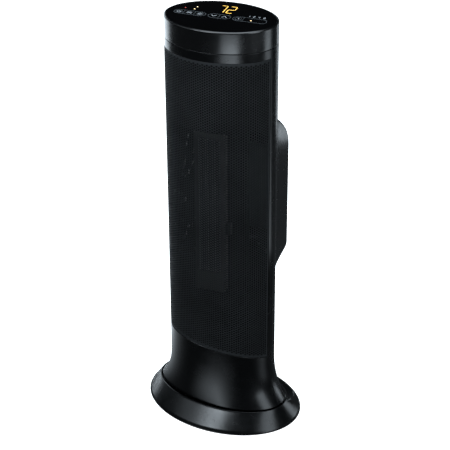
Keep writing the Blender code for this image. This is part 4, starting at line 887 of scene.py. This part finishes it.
def slope_height(share):
    """The ring's slope from the lip at share 0 to the rim at share 1, steeper beyond its knee."""
    top = LIP_HEIGHT - 0.0006
    if share <= KNEE:
        return top - (top - RIM_HEIGHT) * KNEE_DROP * share / KNEE
    return top - (top - RIM_HEIGHT) * (KNEE_DROP + (1 - KNEE_DROP) * (share - KNEE) / (1 - KNEE))


def scoop_weight(angle):
    """How far the shelf is sunk at an angle: 0 at the sides, 1 in front and at the back."""
    off_side = min(angle, pi - angle)
    w = min(1.0, max(0.0, (off_side - SCOOP_START) / SCOOP_BLEND))
    return w * w * (3 - 2 * w) * 0.5 + w * 0.5


def slope_ring(side_share, scoop_share, sunk=0.0, drop=0.0):
    """A line round the slope, at one share of it on the sides and another where the shelf is."""
    ring = []
    for i in range(RING_SIDES):
        angle = 2 * pi * i / RING_SIDES
        w = scoop_weight(angle)
        share = side_share + (scoop_share - side_share) * w
        x = (LIP[0] + (RIM[0] - LIP[0]) * share) * cos(angle)
        y = (LIP[1] + (RIM[1] - LIP[1]) * share) * sin(angle) + RING_SET_BACK * share
        z = slope_height(share) - drop
        if sunk:
            z += (SCOOP_FLOOR - z) * w * sunk
        ring.append((x, y, z))
    return ring


def make_base_ring(paint):
    """The base ring, from its rim up the slope, over the lip, down to the hub and back underneath."""
    def rim(inset, z):
        return oval(RIM[0] - inset, RIM[1] - inset, z, RING_SET_BACK, RING_SIDES)

    def lip(inset, z, inset_y=None):
        return oval(LIP[0] - inset, LIP[1] - (inset if inset_y is None else inset_y), z, sides=RING_SIDES)

    def hub(radius, z):
        return oval(radius, radius, z, sides=RING_SIDES)

    rings = [rim(0.0006, 0.0010), rim(0.0002, 0.0012), rim(0.0, 0.0016), rim(0.0, 0.0026),
             slope_ring(0.985, 0.985, drop=0.0002)]
    rings += [slope_ring(*shares) for shares in (
        (0.96, 0.96), (0.92, 0.92), (0.90, 0.90), (0.87, 0.88), (0.84, 0.86), (0.55, 0.83), (0.20, 0.78),
        (0.185, 0.765, 0.12), (0.175, 0.755, 0.92), (0.165, 0.735, 1.0), (0.145, 0.17, 1.0), (0.13, 0.15, 0.96),
        (0.115, 0.125, 0.55), (0.10, 0.10, 0.10), (0.085, 0.085), (0.03, 0.03), (0.0, 0.0))]
    rings += [lip(0.00018, LIP_HEIGHT - 0.0002), lip(0.0006, LIP_HEIGHT), lip(0.0013, LIP_HEIGHT),
              lip(0.0016, LIP_HEIGHT - 0.0003), lip(0.0016, DISH_Z)]
    rings += [hub(HUB_RADIUS, DISH_Z), hub(HUB_RADIUS, HUB_TOP), hub(BEARING_RADIUS, HUB_TOP),
              hub(BEARING_RADIUS, HUB_BOTTOM), hub(HUB_RADIUS, HUB_BOTTOM), hub(HUB_RADIUS, DISH_UNDERSIDE)]
    rings += [lip(0.0079, DISH_UNDERSIDE, 0.0088), lip(0.0079, COVER_SEAT, 0.0088),
              lip(-0.0035, COVER_SEAT, -0.0036), lip(-0.0035, RING_UNDERSIDE, -0.0036)]
    points = [p for ring in rings for p in ring]
    piece = build_piece("base", points, flip(loop_faces(RING_SIDES, len(rings))), paint["satin"], "base",
                        ("base_ring",), sharp=40)
    cut_notch(piece)


def cut_notch(piece):
    """The cord's way out at the back: a square notch through the rim and a round hole behind it."""
    corners = [(-NOTCH_HALF_WIDTH, NOTCH_FACE), (NOTCH_HALF_WIDTH, NOTCH_FACE),
               (NOTCH_HALF_WIDTH, NOTCH_BACK), (-NOTCH_HALF_WIDTH, NOTCH_BACK)]
    points = [(x, y, z) for z in (NOTCH_LOW, NOTCH_HIGH) for x, y in corners]
    block = cutter("notch", points, flip(stack_faces(4, 2)))
    turns = [2 * pi * i / GLAND_SIDES for i in range(GLAND_SIDES)]
    points = [(GLAND_RADIUS * cos(turn), y, GLAND_Z + GLAND_RADIUS * sin(turn))
              for y in (GLAND_FRONT, GLAND_BACK) for turn in turns]
    bore = cutter("gland_hole", points, stack_faces(GLAND_SIDES, 2))
    for tool in (block, bore):
        cut = piece.modifiers.new("cut", "BOOLEAN")
        cut.operation = "DIFFERENCE"
        cut.solver = "EXACT"
        cut.object = tool
    bpy.context.view_layer.update()
    result = bpy.data.meshes.new_from_object(piece.evaluated_get(bpy.context.evaluated_depsgraph_get()))
    piece.modifiers.clear()
    piece.data = result
    for tool in (block, bore):
        bpy.data.objects.remove(tool)


def cutter(name, points, faces):
    mesh = bpy.data.meshes.new(name)
    mesh.from_pydata(points, [], faces)
    tool = bpy.data.objects.new(name, mesh)
    bpy.context.collection.objects.link(tool)
    return tool


# Studio

def add_floor():
    """A white floor that keeps the shadow, and is mirrored only as a dim plane with soft pools of light."""
    turns = [2 * pi * i / FLOOR_SIDES for i in range(FLOOR_SIDES)]
    points = [(0, 0, 0)] + [(FLOOR_RADIUS * cos(turn), FLOOR_RADIUS * sin(turn), 0) for turn in turns]
    mesh = bpy.data.meshes.new("floor")
    mesh.from_pydata(points, [], [(0, i + 1, (i + 1) % FLOOR_SIDES + 1) for i in range(FLOOR_SIDES)])
    floor = bpy.data.objects.new("floor", mesh)
    bpy.context.collection.objects.link(floor)
    material = bpy.data.materials.new("floor_white")
    material.use_nodes = True
    nodes, links = material.node_tree.nodes, material.node_tree.links
    nodes.clear()
    output = nodes.new("ShaderNodeOutputMaterial")
    path = nodes.new("ShaderNodeLightPath")
    seen, mirrored = path.outputs["Is Camera Ray"], path.outputs["Is Glossy Ray"]

    paper = add_mix(nodes, links, seen, (FLOOR_BOUNCE,) * 3, (FLOOR_PAPER,) * 3)
    diffuse = nodes.new("ShaderNodeBsdfDiffuse")
    links.new(paper, diffuse.inputs["Color"])

    direct = add_math(nodes, links, "MAXIMUM", seen, path.outputs["Is Transmission Ray"])
    direct_level = add_math(nodes, links, "MULTIPLY", direct, FLOOR_GLOW)
    coords = nodes.new("ShaderNodeTexCoord")
    shine = FLOOR_MIRRORED
    for pool in LIGHT_POOLS:
        shine = add_math(nodes, links, "ADD", shine, light_pool(nodes, links, coords, *pool))
    mirrored_level = add_math(nodes, links, "MULTIPLY", mirrored, shine)
    glow = nodes.new("ShaderNodeEmission")
    links.new(add_mix(nodes, links, mirrored, WHITE, COOL), glow.inputs["Color"])
    links.new(add_math(nodes, links, "MAXIMUM", direct_level, mirrored_level), glow.inputs["Strength"])

    both = nodes.new("ShaderNodeAddShader")
    links.new(diffuse.outputs[0], both.inputs[0])
    links.new(glow.outputs[0], both.inputs[1])
    links.new(both.outputs[0], output.inputs["Surface"])
    mesh.materials.append(material)


def light_pool(nodes, links, coords, x, y, reach_x, reach_y, strength):
    """A soft oval pool of light on the floor: full at its middle, nothing beyond its reach."""
    place = nodes.new("ShaderNodeMapping")
    place.vector_type = "POINT"
    place.inputs["Location"].default_value = (-x / reach_x, -y / reach_y, 0)
    place.inputs["Scale"].default_value = (1 / reach_x, 1 / reach_y, 1)
    links.new(coords.outputs["Object"], place.inputs["Vector"])
    ball = nodes.new("ShaderNodeTexGradient")
    ball.gradient_type = "QUADRATIC_SPHERE"
    links.new(place.outputs["Vector"], ball.inputs["Vector"])
    return add_math(nodes, links, "MULTIPLY", ball.outputs["Fac"], strength)


def add_world():
    """A dim sky with a bright patch overhead, which the camera sees as plain white."""
    sky = bpy.data.worlds.new("studio")
    bpy.context.scene.world = sky
    sky.use_nodes = True
    nodes, links = sky.node_tree.nodes, sky.node_tree.links
    nodes.clear()
    output = nodes.new("ShaderNodeOutputWorld")
    background = nodes.new("ShaderNodeBackground")
    coords = nodes.new("ShaderNodeTexCoord")
    split = nodes.new("ShaderNodeSeparateXYZ")
    ramp = nodes.new("ShaderNodeValToRGB")
    elements = ramp.color_ramp.elements
    for element, (height, colour) in zip(elements, SKY):
        element.position = height
        element.color = (*colour, 1)
    for height, colour in SKY[2:]:
        elements.new(height).color = (*colour, 1)
    links.new(coords.outputs["Generated"], split.inputs[0])
    links.new(split.outputs["Z"], ramp.inputs["Fac"])
    path = nodes.new("ShaderNodeLightPath")
    seen = add_mix(nodes, links, path.outputs["Is Camera Ray"], ramp.outputs["Color"], WHITE)
    links.new(seen, background.inputs["Color"])
    links.new(background.outputs[0], output.inputs["Surface"])


def add_softbox(name, azimuth, elevation, distance, width, height, level, aim, beam):
    """A lamp that faces the axis, as bright as its level; azimuth 0 is in front and grows to the right."""
    a, e = radians(azimuth), radians(elevation)
    away = Vector((sin(a) * cos(e), -cos(a) * cos(e), sin(e)))
    data = bpy.data.lights.new(name, "AREA")
    data.shape = "RECTANGLE"
    data.size = width
    data.size_y = height
    data.energy = level * pi * width * height
    data.color = COOL
    data.spread = radians(beam)
    lamp = bpy.data.objects.new(name, data)
    bpy.context.collection.objects.link(lamp)
    lamp.location = Vector((0, 0, aim)) + away * distance
    lamp.rotation_euler = away.to_track_quat("Z", "Y").to_euler()
    lamp.visible_camera = False


# The scene

add_camera()
paint = make_materials()
make_front_frame(paint)
make_front_grille(paint)
for name, low, high in LININGS:
    make_lining(name, low, high, paint)
make_rear_housing(paint)
make_intake(paint)
make_filter(paint)
make_fins(paint)
make_collar(paint)
make_panel(paint)
make_key_outlines(paint)
make_panel_print(paint)
make_panel_lights(paint)
make_base_ring(paint)
paint_nodes(paint)
add_floor()
add_world()
for lamp in LAMPS:
    add_softbox(*lamp)
bpy.context.scene.view_settings.view_transform = "Standard"
